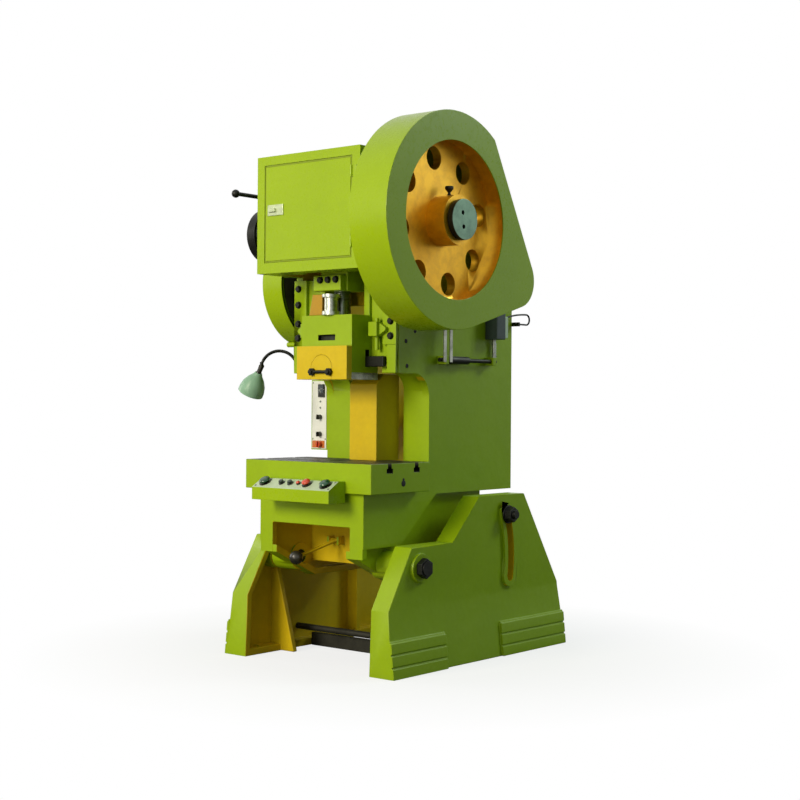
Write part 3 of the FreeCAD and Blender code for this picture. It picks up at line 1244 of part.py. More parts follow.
# ----------------------------------------------------------------------------------------
# Electrical cabinet at the left
# ----------------------------------------------------------------------------------------
cabinet_front = S.throat_y
cabinet_outer = -(S.frame_half + S.cabinet_wide)
cabinet_back = cabinet_front + S.cabinet_deep
node("electrical_cabinet", cut(
    block(cabinet_outer, -S.frame_half, cabinet_front, cabinet_back, S.cabinet_foot, S.cabinet_top),
    block(cabinet_outer + 3, -S.frame_half - 3, cabinet_front + 3, cabinet_back - 3,
          S.cabinet_foot + 3, S.cabinet_top - 3),
    block(cabinet_outer + 14, -S.frame_half - 14, cabinet_front - 1, cabinet_front + 4,
          S.cabinet_foot + 14, S.cabinet_top - 14)))
panel_front = cabinet_front - 3
knob_x = -(S.frame_half + 41)
KNOBS = (("upper_knob", S.cabinet_foot + 148, 11), ("lower_knob", S.cabinet_foot + 71, 11),
         ("isolator_switch", S.cabinet_foot + 25, 13))
node("cabinet_panel", cut(
    fuse(block(cabinet_outer + 6, -S.frame_half - 5, panel_front, cabinet_front, S.cabinet_foot + 5,
               S.cabinet_top - 5),
         block(-(S.frame_half + 50), -(S.frame_half + 14), panel_front - 8, panel_front + 1,
               S.cabinet_top - 77, S.cabinet_top - 19)),
    *[cylinder("y", 4.3, panel_front - 2, cabinet_front + 2, knob_x, z) for _, z, _ in KNOBS]))
for name, z, radius in KNOBS:
    node(name, fuse(
        cylinder("y", 4, panel_front - 4, cabinet_front + 8, knob_x, z),
        cylinder("y", radius, panel_front - 18, panel_front - 1, knob_x, z),
        block(knob_x - 3, knob_x + 3, panel_front - 26, panel_front - 17, as_size(z) - radius,
              as_size(z) + radius)))

# ----------------------------------------------------------------------------------------
# Clutch trip gear on the right side plate
# ----------------------------------------------------------------------------------------
trip_front = -140
trip_rear = 267


def trip_bearing(y):
    """A pillow block for the trip shaft."""
    return cut(block(S.frame_half, trip_x + 18, y - 12, y + 12, S.trip_z - 18, S.trip_z + 18),
               cylinder("y", S.trip + S.fit, y - 20, y + 20, trip_x, S.trip_z))


node("trip_bearings", group(trip_bearing(as_size(-105)), trip_bearing(as_size(238))))
link_x = trip_x - 14
link_y = as_size(275)
node("trip_shaft", fuse(
    cylinder("y", S.trip, trip_front, trip_rear, trip_x, S.trip_z),
    cylinder("y", 17, -69, 60, trip_x, S.trip_z),
    *[block(trip_x, trip_x + 14, y - 6, y + 6, S.trip_z - 8, S.trip_z + 8) for y in (-126, -84)],
    block(trip_x - 24, trip_x, link_y - 20, link_y - 8, S.trip_z - 8, S.trip_z + 8)))
solenoid_foot = S.trip_z + 99
solenoid_front = link_y - 47
solenoid_end = solenoid_front + 102
node("solenoid", cut(
    fuse(block(S.frame_half, trip_x + 36, solenoid_front, solenoid_end - 36, solenoid_foot,
               solenoid_foot + 118),
         block(S.frame_half, trip_x + 24, solenoid_end - 36, solenoid_end, solenoid_foot + 8,
               solenoid_foot + 104)),
    cylinder("z", 8.5, solenoid_foot - 2, solenoid_foot + 44, link_x, link_y)))
node("solenoid_link", fuse(
    cylinder("z", 8, S.trip_z + 20, solenoid_foot + 20, link_x, link_y),
    *[cylinder("z", 11, S.trip_z + 28 + 12 * ring, S.trip_z + 34 + 12 * ring, link_x, link_y)
      for ring in range(5)],
    block(link_x - 7, link_x + 7, link_y - 7, link_y + 8, S.trip_z - 9, S.trip_z + 24)))
# Two flat pull rods rise behind the gear cover to the clutch.
node("trip_rods", group(*[
    block(trip_x + 17, trip_x + 22, y - 9, y + 9, S.trip_z - 10, 1500) for y in (-126, -84)]))


# ----------------------------------------------------------------------------------------
# Work lamp on its gooseneck
# ----------------------------------------------------------------------------------------
def arc_through(start, end, bulge):
    """An arc between two points whose middle lies off the straight line by a vector."""
    middle = start.add(end).multiply(0.5).add(bulge)
    return Part.Arc(start, middle, end)


def tube(curves, radius):
    """A round tube along curves that follow one another."""
    path = Part.Wire([curve.toShape() for curve in curves])
    first = curves[0]
    start = first.value(first.FirstParameter)
    way = first.tangent(first.FirstParameter)[0]
    profile = Part.Wire(Part.makeCircle(radius, start, way))
    return solid(path.makePipeShell([profile], True, False))


def turned(profile):
    """A shape turned about its own Z axis from a closed (radius, height) profile."""
    wire = Part.makePolygon([Vector(radius, 0, height) for radius, height in profile + profile[:1]])
    return Part.Face(wire).revolve(Vector(0, 0, 0), Vector(0, 0, 1), 360)


knuckle = 8.0
knuckle_half = 5.0
lamp_joint = Vector(S.lamp_x.number, S.lamp_y.number, S.lamp_z.number)
neck_root = Vector(-S.frame_half.number - 10, -360.0, 1256.0)
neck_end = lamp_joint.add(Vector(3.0, 3.0, 2.2 * knuckle))
neck_arc = arc_through(neck_root, neck_end, Vector(-14.0, -10.0, 56.0))
neck_body = fuse(
    tube([neck_arc], 6.5),
    block(-S.frame_half - 14, -S.frame_half, -374, -342, 1238, 1274),
    block(S.lamp_x - 5, S.lamp_x + 8, S.lamp_y - knuckle_half, S.lamp_y + knuckle_half, S.lamp_z,
          S.lamp_z + 2.4 * knuckle),
    cylinder("y", knuckle, S.lamp_y - knuckle_half, S.lamp_y + knuckle_half, S.lamp_x, S.lamp_z))
pin_radius = 3.0
node("lamp_neck", cut(neck_body, cylinder("y", pin_radius + S.fit, S.lamp_y - 12, S.lamp_y + 12,
                                          S.lamp_x, S.lamp_z)))

# The shade and the bulb with its holder are drawn about the joint and then leaned.
lamp_lean = 30.0
LAMP_PLACE = FreeCAD.Placement(lamp_joint, FreeCAD.Rotation(Vector(0, 1, 0), 180 + lamp_lean))
socket = S.lamp_socket.number
socket_end = 48.0
shade_wall = 2.0
rim = S.lamp.number
shade_line = [(16.0, 33.0), (22.0, 46.0), (37.0, 64.0), (rim - 6, 90.0), (rim, 118.0), (rim, 136.0)]
shade_inside = [(radius - shade_wall, height) for radius, height in reversed(shade_line[1:])]
shade = solid(turned([(socket, 33.0)] + shade_line + shade_inside + [(socket, 36.0)]))
shade.Placement = LAMP_PLACE
node("lamp_shade", shade)
cheek_gap = knuckle_half + S.clearance.number
cheek = 3.6
holder = Part.makeCylinder(socket, socket_end - knuckle - 1.5, Vector(0, 0, knuckle + 1.5))
holder = holder.fuse(Part.makeCylinder(pin_radius, 2 * cheek_gap, Vector(0, -cheek_gap, 0), Vector(0, 1, 0)))
for low in (-cheek_gap - cheek, cheek_gap):
    holder = holder.fuse(Part.makeCylinder(knuckle, cheek, Vector(0, low, 0), Vector(0, 1, 0)))
    holder = holder.fuse(Part.makeBox(2 * knuckle - 2, cheek, knuckle + 4, Vector(1 - knuckle, low, 0)))
lamp_holder = solid(holder)
lamp_holder.Placement = LAMP_PLACE
bulb = solid(turned([(0.0, socket_end), (socket - 1, socket_end), (13.0, 57.0), (18.0, 65.0),
                     (20.0, 74.0), (17.0, 84.0), (10.0, 91.0), (0.0, 93.0)]))
bulb.Placement = LAMP_PLACE
node("lamp_bulb", group(lamp_holder, bulb))

# A thin conduit leaves the solenoid's end, turns back in a half circle and enters the frame's back.
conduit_x = trip_x.number
conduit_out = Vector(conduit_x, solenoid_end.number + 2, 1478.0)
conduit_turn = Vector(conduit_x, 507.0, 1502.0)
conduit_drop = 46.0
run = conduit_turn.y - conduit_out.y
rise = conduit_turn.z - conduit_out.z
rise_radius = (run * run + rise * rise) / (2 * rise)
half_angle = math.asin(run / rise_radius) / 2
conduit_middle = Vector(conduit_x, conduit_turn.y - rise_radius * math.sin(half_angle),
                        conduit_turn.z - rise_radius * (1 - math.cos(half_angle)))
conduit_low = conduit_turn.add(Vector(0, 0, -conduit_drop))
conduit_home = Vector(conduit_x, S.frame_back.number + 8, conduit_low.z)
conduit_tube = tube([
    Part.Arc(conduit_out, conduit_middle, conduit_turn),
    arc_through(conduit_turn, conduit_low, Vector(0, conduit_drop / 2, 0)),
    Part.LineSegment(conduit_low, conduit_home)], 4.0)
node("conduit", fuse(
    conduit_tube,
    cylinder("y", 7, solenoid_end, solenoid_end + 12, trip_x, conduit_out.z),
    block(S.frame_half - 10, trip_x + 8, S.frame_back, S.frame_back + 12, conduit_low.z - 9,
          conduit_low.z + 9)))

# ----------------------------------------------------------------------------------------
# Lever with the black ball under the table
# ----------------------------------------------------------------------------------------
knob_y = S.jaw_front - 4
knob_z = as_size(444)
lever_way = Vector(0, knob_y.number - lever_y.number, knob_z.number - lever_z.number)
lever_arm = doc.addObject("Part::Cylinder", working_name("cylinder"))
lever_arm.Radius = 8
lever_arm.Height = lever_way.Length
lever_arm.Placement = FreeCAD.Placement(Vector(0, 0, 0), FreeCAD.Rotation(Vector(0, 0, 1), lever_way))
place(lever_arm, lever_x, lever_y, lever_z)
node("release_lever", fuse(
    cylinder("x", 10, lever_x - 36, lever_x + 36, lever_y, lever_z),
    lever_arm,
    ball(29, lever_x, knob_y, knob_z)))


# ----------------------------------------------------------------------------------------
# Checks and export
# ----------------------------------------------------------------------------------------
doc.recompute()
for thing in doc.Objects:
    if "Invalid" in thing.State or "Error" in thing.State:
        raise RuntimeError(f"{thing.Name} ({thing.Label}) failed: {thing.State}")
os.makedirs("parts", exist_ok=True)
for label, thing in NODES.items():
    shape = thing.Shape
    if shape.isNull() or not shape.isValid() or not shape.Solids:
        raise RuntimeError(f"{label} has no valid solid")
    print(f"{label:22s} solids {len(shape.Solids)}  volume {shape.Volume / 1000:10.1f} cm3")
for label, thing in NODES.items():
    thing.Shape.exportStep(f"parts/{label}.step")
print(len(NODES), "pieces")
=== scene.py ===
"""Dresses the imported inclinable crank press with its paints, steels, fasteners and small fittings.

Every length is in metres, in the press's own frame: X to the operator's right, Y to the back, Z up
from the floor. Sizes that belong to the photograph's view are in the Viewpoint class.
"""

from __future__ import annotations

import logging
import math
from collections.abc import Callable, Sequence
from dataclasses import dataclass
from enum import Enum

import bmesh
import bpy
from mathutils import Matrix, Vector
from mathutils.kdtree import KDTree

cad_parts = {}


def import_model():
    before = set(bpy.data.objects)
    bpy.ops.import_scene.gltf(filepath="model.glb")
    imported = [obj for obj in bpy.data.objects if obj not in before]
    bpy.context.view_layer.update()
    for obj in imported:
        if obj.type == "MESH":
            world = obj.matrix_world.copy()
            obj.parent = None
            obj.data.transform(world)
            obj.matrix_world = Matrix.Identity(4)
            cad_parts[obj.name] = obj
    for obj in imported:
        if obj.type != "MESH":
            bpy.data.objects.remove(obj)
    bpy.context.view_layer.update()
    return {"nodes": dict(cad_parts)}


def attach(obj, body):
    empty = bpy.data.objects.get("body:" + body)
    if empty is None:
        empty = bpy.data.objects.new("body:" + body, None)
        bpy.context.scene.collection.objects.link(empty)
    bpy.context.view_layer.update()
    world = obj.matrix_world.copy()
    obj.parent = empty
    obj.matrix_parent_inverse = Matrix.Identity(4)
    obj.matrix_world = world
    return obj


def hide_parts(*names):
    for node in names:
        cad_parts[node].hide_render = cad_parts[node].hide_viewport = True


LOG = logging.getLogger("press")

Point = tuple[float, float, float]
Colour = tuple[float, float, float, float]

# Axes of the crankshaft and of the flywheel's shaft, which both run along X
CRANK: Point = (0.0, -0.401, 1.831)
COUNTER: Point = (0.0, -0.0171, 1.6329)


# ---------------------------------------------------------------------------------------------
# Small shared tools
# ---------------------------------------------------------------------------------------------
def srgb(hexa: str, alpha: float = 1.0) -> Colour:
    """Turn an sRGB hex colour into Blender's linear colour.

    Args:
        hexa: Six hex digits, with or without a leading #.
        alpha: Opacity.

    Returns:
        Linear red, green, blue and alpha.
    """
    digits = hexa.lstrip("#")
    channels = []
    for start in (0, 2, 4):
        value = int(digits[start:start + 2], 16) / 255.0
        channels.append(value / 12.92 if value <= 0.04045 else ((value + 0.055) / 1.055) ** 2.4)
    return (channels[0], channels[1], channels[2], alpha)


def add_node(tree: bpy.types.NodeTree, kind: str, settings: dict | None = None,
             links: dict | None = None) -> bpy.types.Node:
    """Add a node with its settings and links.

    Args:
        tree: The tree that takes the node.
        kind: The node's Blender type name.
        settings: Attribute names, or input names or numbers, with their values.
        links: Input names or numbers, with the sockets that feed them.

    Returns:
        The new node.
    """
    node = tree.nodes.new(kind)
    for key, value in (settings or {}).items():
        if isinstance(key, str) and hasattr(node, key) and key not in node.inputs:
            setattr(node, key, value)
        else:
            node.inputs[key].default_value = value
    for key, socket in (links or {}).items():
        tree.links.new(socket, node.inputs[key])
    return node


def new_mesh_object(name: str, mesh: bpy.types.Mesh) -> bpy.types.Object:
    """Put a mesh into the scene as an object at the origin."""
    thing = bpy.data.objects.new(name, mesh)
    bpy.context.scene.collection.objects.link(thing)
    return thing


def mesh_from(name: str, build: Callable[[bmesh.types.BMesh], None]) -> bpy.types.Object:
    """Make an object from a bmesh recipe.

    Args:
        name: Name of the piece.
        build: Fills the bmesh.

    Returns:
        The new object, with outward normals.
    """
    work = bmesh.new()
    build(work)
    bmesh.ops.remove_doubles(work, verts=work.verts[:], dist=1e-6)
    bmesh.ops.recalc_face_normals(work, faces=work.faces[:])
    mesh = bpy.data.meshes.new(name)
    work.to_mesh(mesh)
    work.free()
    return new_mesh_object(name, mesh)


def bake_modifiers(thing: bpy.types.Object) -> None:
    """Turn an object's modifiers into plain mesh."""
    depsgraph = bpy.context.evaluated_depsgraph_get()
    plain = bpy.data.meshes.new_from_object(thing.evaluated_get(depsgraph))
    thing.modifiers.clear()
    old = thing.data
    thing.data = plain
    bpy.data.meshes.remove(old)


def shade_by_angle(thing: bpy.types.Object, degrees: float = 32.0) -> None:
    """Smooth shading with edges sharper than an angle kept crisp."""
    mesh = thing.data
    for polygon in mesh.polygons:
        polygon.use_smooth = True
    mesh.set_sharp_from_angle(angle=math.radians(degrees))


def finish_piece(thing: bpy.types.Object, body: str,
                 materials: Sequence[bpy.types.Material]) -> bpy.types.Object:
    """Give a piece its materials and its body.

    Args:
        thing: The piece.
        body: The CAD body it rides on.
        materials: Its materials, in slot order.

    Returns:
        The piece.
    """
    if len(thing.data.materials) == 0:
        for material in materials:
            thing.data.materials.append(material)
    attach(thing, body)
    return thing


# ---------------------------------------------------------------------------------------------
# Finishes
# ---------------------------------------------------------------------------------------------
RESIN_IOR = 1.5


def start_material(name: str, settings: dict[str, float]) -> tuple[
        bpy.types.Material, bpy.types.NodeTree, bpy.types.Node, bpy.types.NodeSocket]:
    """Start a material.

    Args:
        name: The material's name.
        settings: Inputs of its shader with their values.

    Returns:
        The material, its tree, its shader and the piece's own coordinates.
    """
    made = bpy.data.materials.new(name)
    made.use_nodes = True
    tree = made.node_tree
    shader = tree.nodes["Principled BSDF"]
    for key, value in settings.items():
        shader.inputs[key].default_value = value
    return made, tree, shader, add_node(tree, "ShaderNodeTexCoord").outputs["Object"]


class WearAndShade(Enum):
    """How much dirt, rubbing and painted corner shade a painted casting shows."""

    LIGHT = 0.35
    USED = 0.7


@dataclass(frozen=True)
class Enamel:
    """Sprayed enamel: semi-gloss, over filled cast iron or sheet, with a faint ripple and oil film.

    The real thing is alkyd enamel, so its IOR is that of a resin, about 1.5, and its gloss is
    broken by orange peel of a few millimetres and, on castings, by a slow ripple of the filler.
    """

    name: str
    colour: str
    shade: str
    # Colour that the dust and the painted corner shade blend towards
    grime_and_shade: str = "2c2a12"
    roughness: float = 0.34
    cast: float = 1.0
    wear_and_shade: WearAndShade = WearAndShade.LIGHT
    gloss: float = 0.3

    def material(self) -> bpy.types.Material:
        """Build the material."""
        made, tree, shader, place = start_material(
            self.name, {"IOR": RESIN_IOR, "Specular IOR Level": self.gloss})
        # Slow drift of the sprayed coat's thickness, over about 250 mm
        drift = add_node(tree, "ShaderNodeTexNoise",
                         {"Scale": 4.0, "Detail": 3.0, "Roughness": 0.6}, {"Vector": place})
        drift_amount = add_node(tree, "ShaderNodeMapRange",
                                {"From Min": 0.35, "From Max": 0.7, "To Min": 0.0, "To Max": 0.55},
                                {"Value": drift.outputs["Fac"]})
        coat = add_node(tree, "ShaderNodeMix", {"data_type": "RGBA", 6: srgb(self.colour),
                                                7: srgb(self.shade)},
                        {0: drift_amount.outputs["Result"]})
        # Painted shade darkens the colour where faces meet, within about 30 mm, and a speckle of oil
        # mist and dust is laid over it
        corner = add_node(tree, "ShaderNodeAmbientOcclusion", {"samples": 8, "Distance": 0.03})
        speckle = add_node(tree, "ShaderNodeTexNoise",
                           {"Scale": 55.0, "Detail": 4.0, "Roughness": 0.7}, {"Vector": place})
        smear = add_node(tree, "ShaderNodeMath", {"operation": "MULTIPLY_ADD", 1: 0.55, 2: -0.15},
                         {0: speckle.outputs["Fac"]})
        painted_corner_shade = add_node(tree, "ShaderNodeMath", {"operation": "SUBTRACT", 0: 1.0},
                        {1: corner.outputs["AO"]})
        shade_and_dirt = add_node(tree, "ShaderNodeMath",
                        {"operation": "MULTIPLY_ADD", "use_clamp": True, 1: self.wear_and_shade.value},
                        {0: painted_corner_shade.outputs["Value"]})
        tree.links.new(smear.outputs["Value"], shade_and_dirt.inputs[2])
        darkening = add_node(tree, "ShaderNodeMath", {"operation": "MULTIPLY", 1: self.wear_and_shade.value},
                         {0: shade_and_dirt.outputs["Value"]})
        coloured = add_node(tree, "ShaderNodeMix", {"data_type": "RGBA", 7: srgb(self.grime_and_shade)},
                            {0: darkening.outputs["Value"], 6: coat.outputs[2]})
        tree.links.new(coloured.outputs[2], shader.inputs["Base Color"])
        rough = add_node(tree, "ShaderNodeMapRange",
                         {"From Min": 0.3, "From Max": 0.75, "To Min": self.roughness - 0.06,
                          "To Max": self.roughness + 0.14}, {"Value": speckle.outputs["Fac"]})
        tree.links.new(rough.outputs["Result"], shader.inputs["Roughness"])
        # Orange peel of about 4 mm over the filler's ripple of about 60 mm
        peel = add_node(tree, "ShaderNodeTexNoise", {"Scale": 240.0, "Detail": 2.0},
                        {"Vector": place})
        ripple = add_node(tree, "ShaderNodeTexNoise", {"Scale": 16.0, "Detail": 2.0},
                          {"Vector": place})
        fine = add_node(tree, "ShaderNodeBump", {"Strength": 0.12, "Distance": 0.0006},
                        {"Height": peel.outputs["Fac"]})
        wavy = add_node(tree, "ShaderNodeBump", {"Strength": 0.35 * self.cast, "Distance": 0.004},
                        {"Height": ripple.outputs["Fac"], "Normal": fine.outputs["Normal"]})
        tree.links.new(wavy.outputs["Normal"], shader.inputs["Normal"])
        return made


class Working(Enum):
    """How a metal surface was made."""

    TURNED_ABOUT_X = "turned about an axis along X"
    TURNED_ABOUT_Z = "turned about an axis along Z"
    MILLED_ALONG_X = "milled along X"
    AS_CAST = "as cast"


def worked_place(tree: bpy.types.NodeTree, working: Working, centre: Point
                 ) -> bpy.types.NodeSocket:
    """Coordinates in which a surface's tool marks run: along the axis and out from it.

    Args:
        tree: The material's tree.
        working: How the surface was made.
        centre: A point of the axis that it was turned about.

    Returns:
        The coordinates' socket.
    """
    place = add_node(tree, "ShaderNodeTexCoord").outputs["Object"]
    if working is Working.AS_CAST:
        return place
    if working is Working.MILLED_ALONG_X:
        return add_node(tree, "ShaderNodeMapping", {"Scale": (0.05, 1.0, 1.0)},
                        {"Vector": place}).outputs["Vector"]
    moved = add_node(tree, "ShaderNodeMapping", {"Location": tuple(-part for part in centre)},
                     {"Vector": place})
    parts = add_node(tree, "ShaderNodeSeparateXYZ", {}, {0: moved.outputs["Vector"]})
    axis, first, second = ("X", "Y", "Z") if working is Working.TURNED_ABOUT_X else ("Z", "X", "Y")
    flat = add_node(tree, "ShaderNodeCombineXYZ", {}, {"X": parts.outputs[first],
                                                       "Y": parts.outputs[second]})
    out = add_node(tree, "ShaderNodeVectorMath", {"operation": "LENGTH"}, {0: flat.outputs[0]})
    return add_node(tree, "ShaderNodeCombineXYZ", {},
                    {"X": parts.outputs[axis], "Y": out.outputs["Value"]}).outputs[0]


@dataclass(frozen=True)
class Metal:
    """Bare worked metal: steel, iron or bronze, with tool marks and a thin oil film.

    Turning and milling leave fine lines, drawn here about 1.5 mm apart so that they show, and the
    oil film makes soft patches in the gloss.
    """

    name: str
    colour: str
    stain: str
    roughness: float = 0.3
    working: Working = Working.TURNED_ABOUT_X
    metallic: float = 1.0
    centre: Point = CRANK
    marks: float = 0.18

    def material(self) -> bpy.types.Material:
        """Build the material."""
        made, tree, shader, place = start_material(self.name, {"Metallic": self.metallic})
        marks = add_node(tree, "ShaderNodeTexNoise", {"Scale": 650.0, "Detail": 3.0},
                         {"Vector": worked_place(tree, self.working, self.centre)})
        patches = add_node(tree, "ShaderNodeTexNoise",
                           {"Scale": 22.0, "Detail": 5.0, "Roughness": 0.65}, {"Vector": place})
        blend = add_node(tree, "ShaderNodeMapRange",
                         {"From Min": 0.4, "From Max": 0.72, "To Min": 0.0, "To Max": 0.8},
                         {"Value": patches.outputs["Fac"]})
        tint = add_node(tree, "ShaderNodeMix",
                        {"data_type": "RGBA", 6: srgb(self.colour), 7: srgb(self.stain)},
                        {0: blend.outputs["Result"]})
        tree.links.new(tint.outputs[2], shader.inputs["Base Color"])
        rough = add_node(tree, "ShaderNodeMapRange",
                         {"From Min": 0.3, "From Max": 0.7, "To Min": self.roughness - 0.07,
                          "To Max": self.roughness + 0.12}, {"Value": marks.outputs["Fac"]})
        tree.links.new(rough.outputs["Result"], shader.inputs["Roughness"])
        bump = add_node(tree, "ShaderNodeBump", {"Strength": self.marks, "Distance": 0.0004},
                        {"Height": marks.outputs["Fac"]})
        tree.links.new(bump.outputs["Normal"], shader.inputs["Normal"])
        return made


@dataclass(frozen=True)
class Moulding:
    """Moulded plastic, rubber or glass: an even colour under a moulded grain.

    The real grain is finer, and is drawn about 2.4 mm wide so that it shows.
    """

    name: str
    colour: str
    roughness: float = 0.35
    grain: float = 0.1
    dust: str = "6f6a58"
    ior: float = RESIN_IOR
    coat: float = 0.0

    def material(self) -> bpy.types.Material:
        """Build the material."""
        made, tree, shader, place = start_material(
            self.name, {"IOR": self.ior, "Coat Weight": self.coat})
        grain = add_node(tree, "ShaderNodeTexNoise", {"Scale": 420.0, "Detail": 2.0},
                         {"Vector": place})
        cloud = add_node(tree, "ShaderNodeTexNoise", {"Scale": 30.0, "Detail": 3.0},
                         {"Vector": place})
        dusty = add_node(tree, "ShaderNodeMapRange",
                         {"From Min": 0.4, "From Max": 0.8, "To Min": 0.0, "To Max": 0.25},
                         {"Value": cloud.outputs["Fac"]})
        tint = add_node(tree, "ShaderNodeMix",
                        {"data_type": "RGBA", 6: srgb(self.colour), 7: srgb(self.dust)},
                        {0: dusty.outputs["Result"]})
        tree.links.new(tint.outputs[2], shader.inputs["Base Color"])
        rough = add_node(tree, "ShaderNodeMapRange",
                         {"From Min": 0.3, "From Max": 0.7, "To Min": self.roughness - 0.04,
                          "To Max": self.roughness + 0.08}, {"Value": cloud.outputs["Fac"]})
        tree.links.new(rough.outputs["Result"], shader.inputs["Roughness"])
        bump = add_node(tree, "ShaderNodeBump", {"Strength": self.grain, "Distance": 0.0004},
                        {"Height": grain.outputs["Fac"]})
        tree.links.new(bump.outputs["Normal"], shader.inputs["Normal"])
        return made


class Palette:
    """The press's finishes, each made once."""

    FINISHES = (
        Enamel("green_enamel_on_casting", "9bb90e", "90ae0c"),
        Enamel("green_enamel_on_sheet", "9fbd0f", "95b30c", cast=0.35, roughness=0.27),
        Enamel("yellow_enamel_on_casting", "dcc018", "ceac14"),
        # Gold bronze paint on the turned gear: half of what it shows is metal flake
        Metal("gold_bronze_paint_on_gear", "f0b824", "cc941a", roughness=0.36, metallic=0.6,
              marks=0.5),
        Enamel("green_enamel_on_motor", "7d9427", "6f8624", wear_and_shade=WearAndShade.USED),
        Enamel("white_enamel_panel", "f4f6f4", "eceeec", cast=0.2, roughness=0.3),
        Enamel("pale_enamel_face", "cbdcc2", "bccfb4", cast=0.2, roughness=0.32),
        # Darker olive for the door's sunk border: painted shade in the step, with dirt
        Enamel("olive_border_shade_and_dirt", "869c12", "7c9210", cast=0.2, roughness=0.45),
        Enamel("ochre_enamel", "c79a2a", "b08722", wear_and_shade=WearAndShade.USED),
        Enamel("blue_grey_enamel", "3a4a4c", "2c3a3c", roughness=0.4, wear_and_shade=WearAndShade.USED),
        Enamel("hammered_blue_green_enamel", "8fb89f", "7ba389", roughness=0.3, cast=1.4),
        # Bright turned steel shows as grey-green, because it mirrors the enamel round it
        Metal("turned_steel", "8b9189", "5a6158"),
        Metal("turned_steel_upright", "9a9f98", "676d64", working=Working.TURNED_ABOUT_Z,
              centre=(0.0, -0.401, 0.0)),
        Metal("turned_countershaft", "8b9189", "5a6158", centre=COUNTER),
        Metal("turned_spool", "b9beb2", "70766a", working=Working.TURNED_ABOUT_Z,
              centre=(0.010, -0.482, 0.0)),
        Metal("face_turned_steel", "66806e", "4c6054", roughness=0.42, marks=0.3),
        Metal("turned_iron", "2e332e", "1a1d1a", roughness=0.34),
        Metal("satin_chrome", "c3cea8", "a4b088", roughness=0.34, working=Working.MILLED_ALONG_X,
              metallic=0.7),
        Metal("milled_steel", "a3a79c", "63685c", working=Working.MILLED_ALONG_X),
        Metal("ground_dark_iron", "3f4238", "23251e", roughness=0.42,
              working=Working.MILLED_ALONG_X),
        Metal("blackened_steel", "2b2c29", "161715", roughness=0.42, metallic=0.8),
        Metal("cast_iron_bare", "3a3a33", "22221d", roughness=0.6, working=Working.AS_CAST,
              metallic=0.6),
        Metal("bored_bronze", "a27a3c", "6e5226"),
        Moulding("black_phenolic", "161613", roughness=0.28, grain=0.06),
        Moulding("red_acrylic", "d8421a", roughness=0.22, grain=0.03, coat=0.3),
        Moulding("green_acrylic", "0f4a2c", roughness=0.22, grain=0.03, coat=0.3),
        Moulding("green_black_cap", "16301f", roughness=0.25, grain=0.04),
        Moulding("orange_moulding", "d8742c", roughness=0.3, grain=0.05),
        Moulding("grey_moulding", "6d7a74", roughness=0.35),
        Moulding("teal_meter_glass", "12262a", roughness=0.08, grain=0.0, coat=0.6),
        Moulding("belt_rubber", "1b1b18", roughness=0.7, grain=0.4),
        Moulding("opal_glass", "e9e4d2", roughness=0.18, grain=0.0, ior=1.52),
    )

    def __init__(self) -> None:
        """Build every finish."""
        self._made = {finish.name: finish.material() for finish in self.FINISHES}

    def __getitem__(self, name: str) -> bpy.types.Material:
        """The material of that name."""
        return self._made[name]


# ---------------------------------------------------------------------------------------------
# The view and the studio
# ---------------------------------------------------------------------------------------------
@dataclass
class Viewpoint:
    """The photograph's camera, fitted to the press's own edges."""

    place: Point = (4.24498, -5.15256, 1.12147)
    forward: tuple[float, float] = (-0.6367, 0.7711)
    focal_pixels: float = 1493.07
    frame_pixels: int = 800
    centre_row: float = 396.87
    roll_degrees: float = 0.40
    sensor: float = 36.0

    def build(self) -> bpy.types.Object:
        """Create the camera and make it the scene's own.

        Returns:
            The camera object.
        """
        lens = bpy.data.cameras.new("camera")
        lens.sensor_width = self.sensor
        lens.sensor_fit = "HORIZONTAL"
        lens.lens = self.focal_pixels / self.frame_pixels * self.sensor
        lens.shift_y = (self.centre_row - self.frame_pixels / 2) / self.frame_pixels
        lens.clip_end = 60.0
        ahead = Vector((self.forward[0], self.forward[1], 0.0)).normalized()
        up = Vector((0.0, 0.0, 1.0))
        right = ahead.cross(up)
        turn = math.radians(self.roll_degrees)
        right_turned = right * math.cos(turn) + up * math.sin(turn)
        up_turned = up * math.cos(turn) - right * math.sin(turn)
        matrix = Matrix((right_turned, up_turned, -ahead)).transposed().to_4x4()
        matrix.translation = Vector(self.place)
        camera = bpy.data.objects.new("camera", lens)
        camera.matrix_world = matrix
        bpy.context.scene.collection.objects.link(camera)
        bpy.context.scene.camera = camera
        return camera


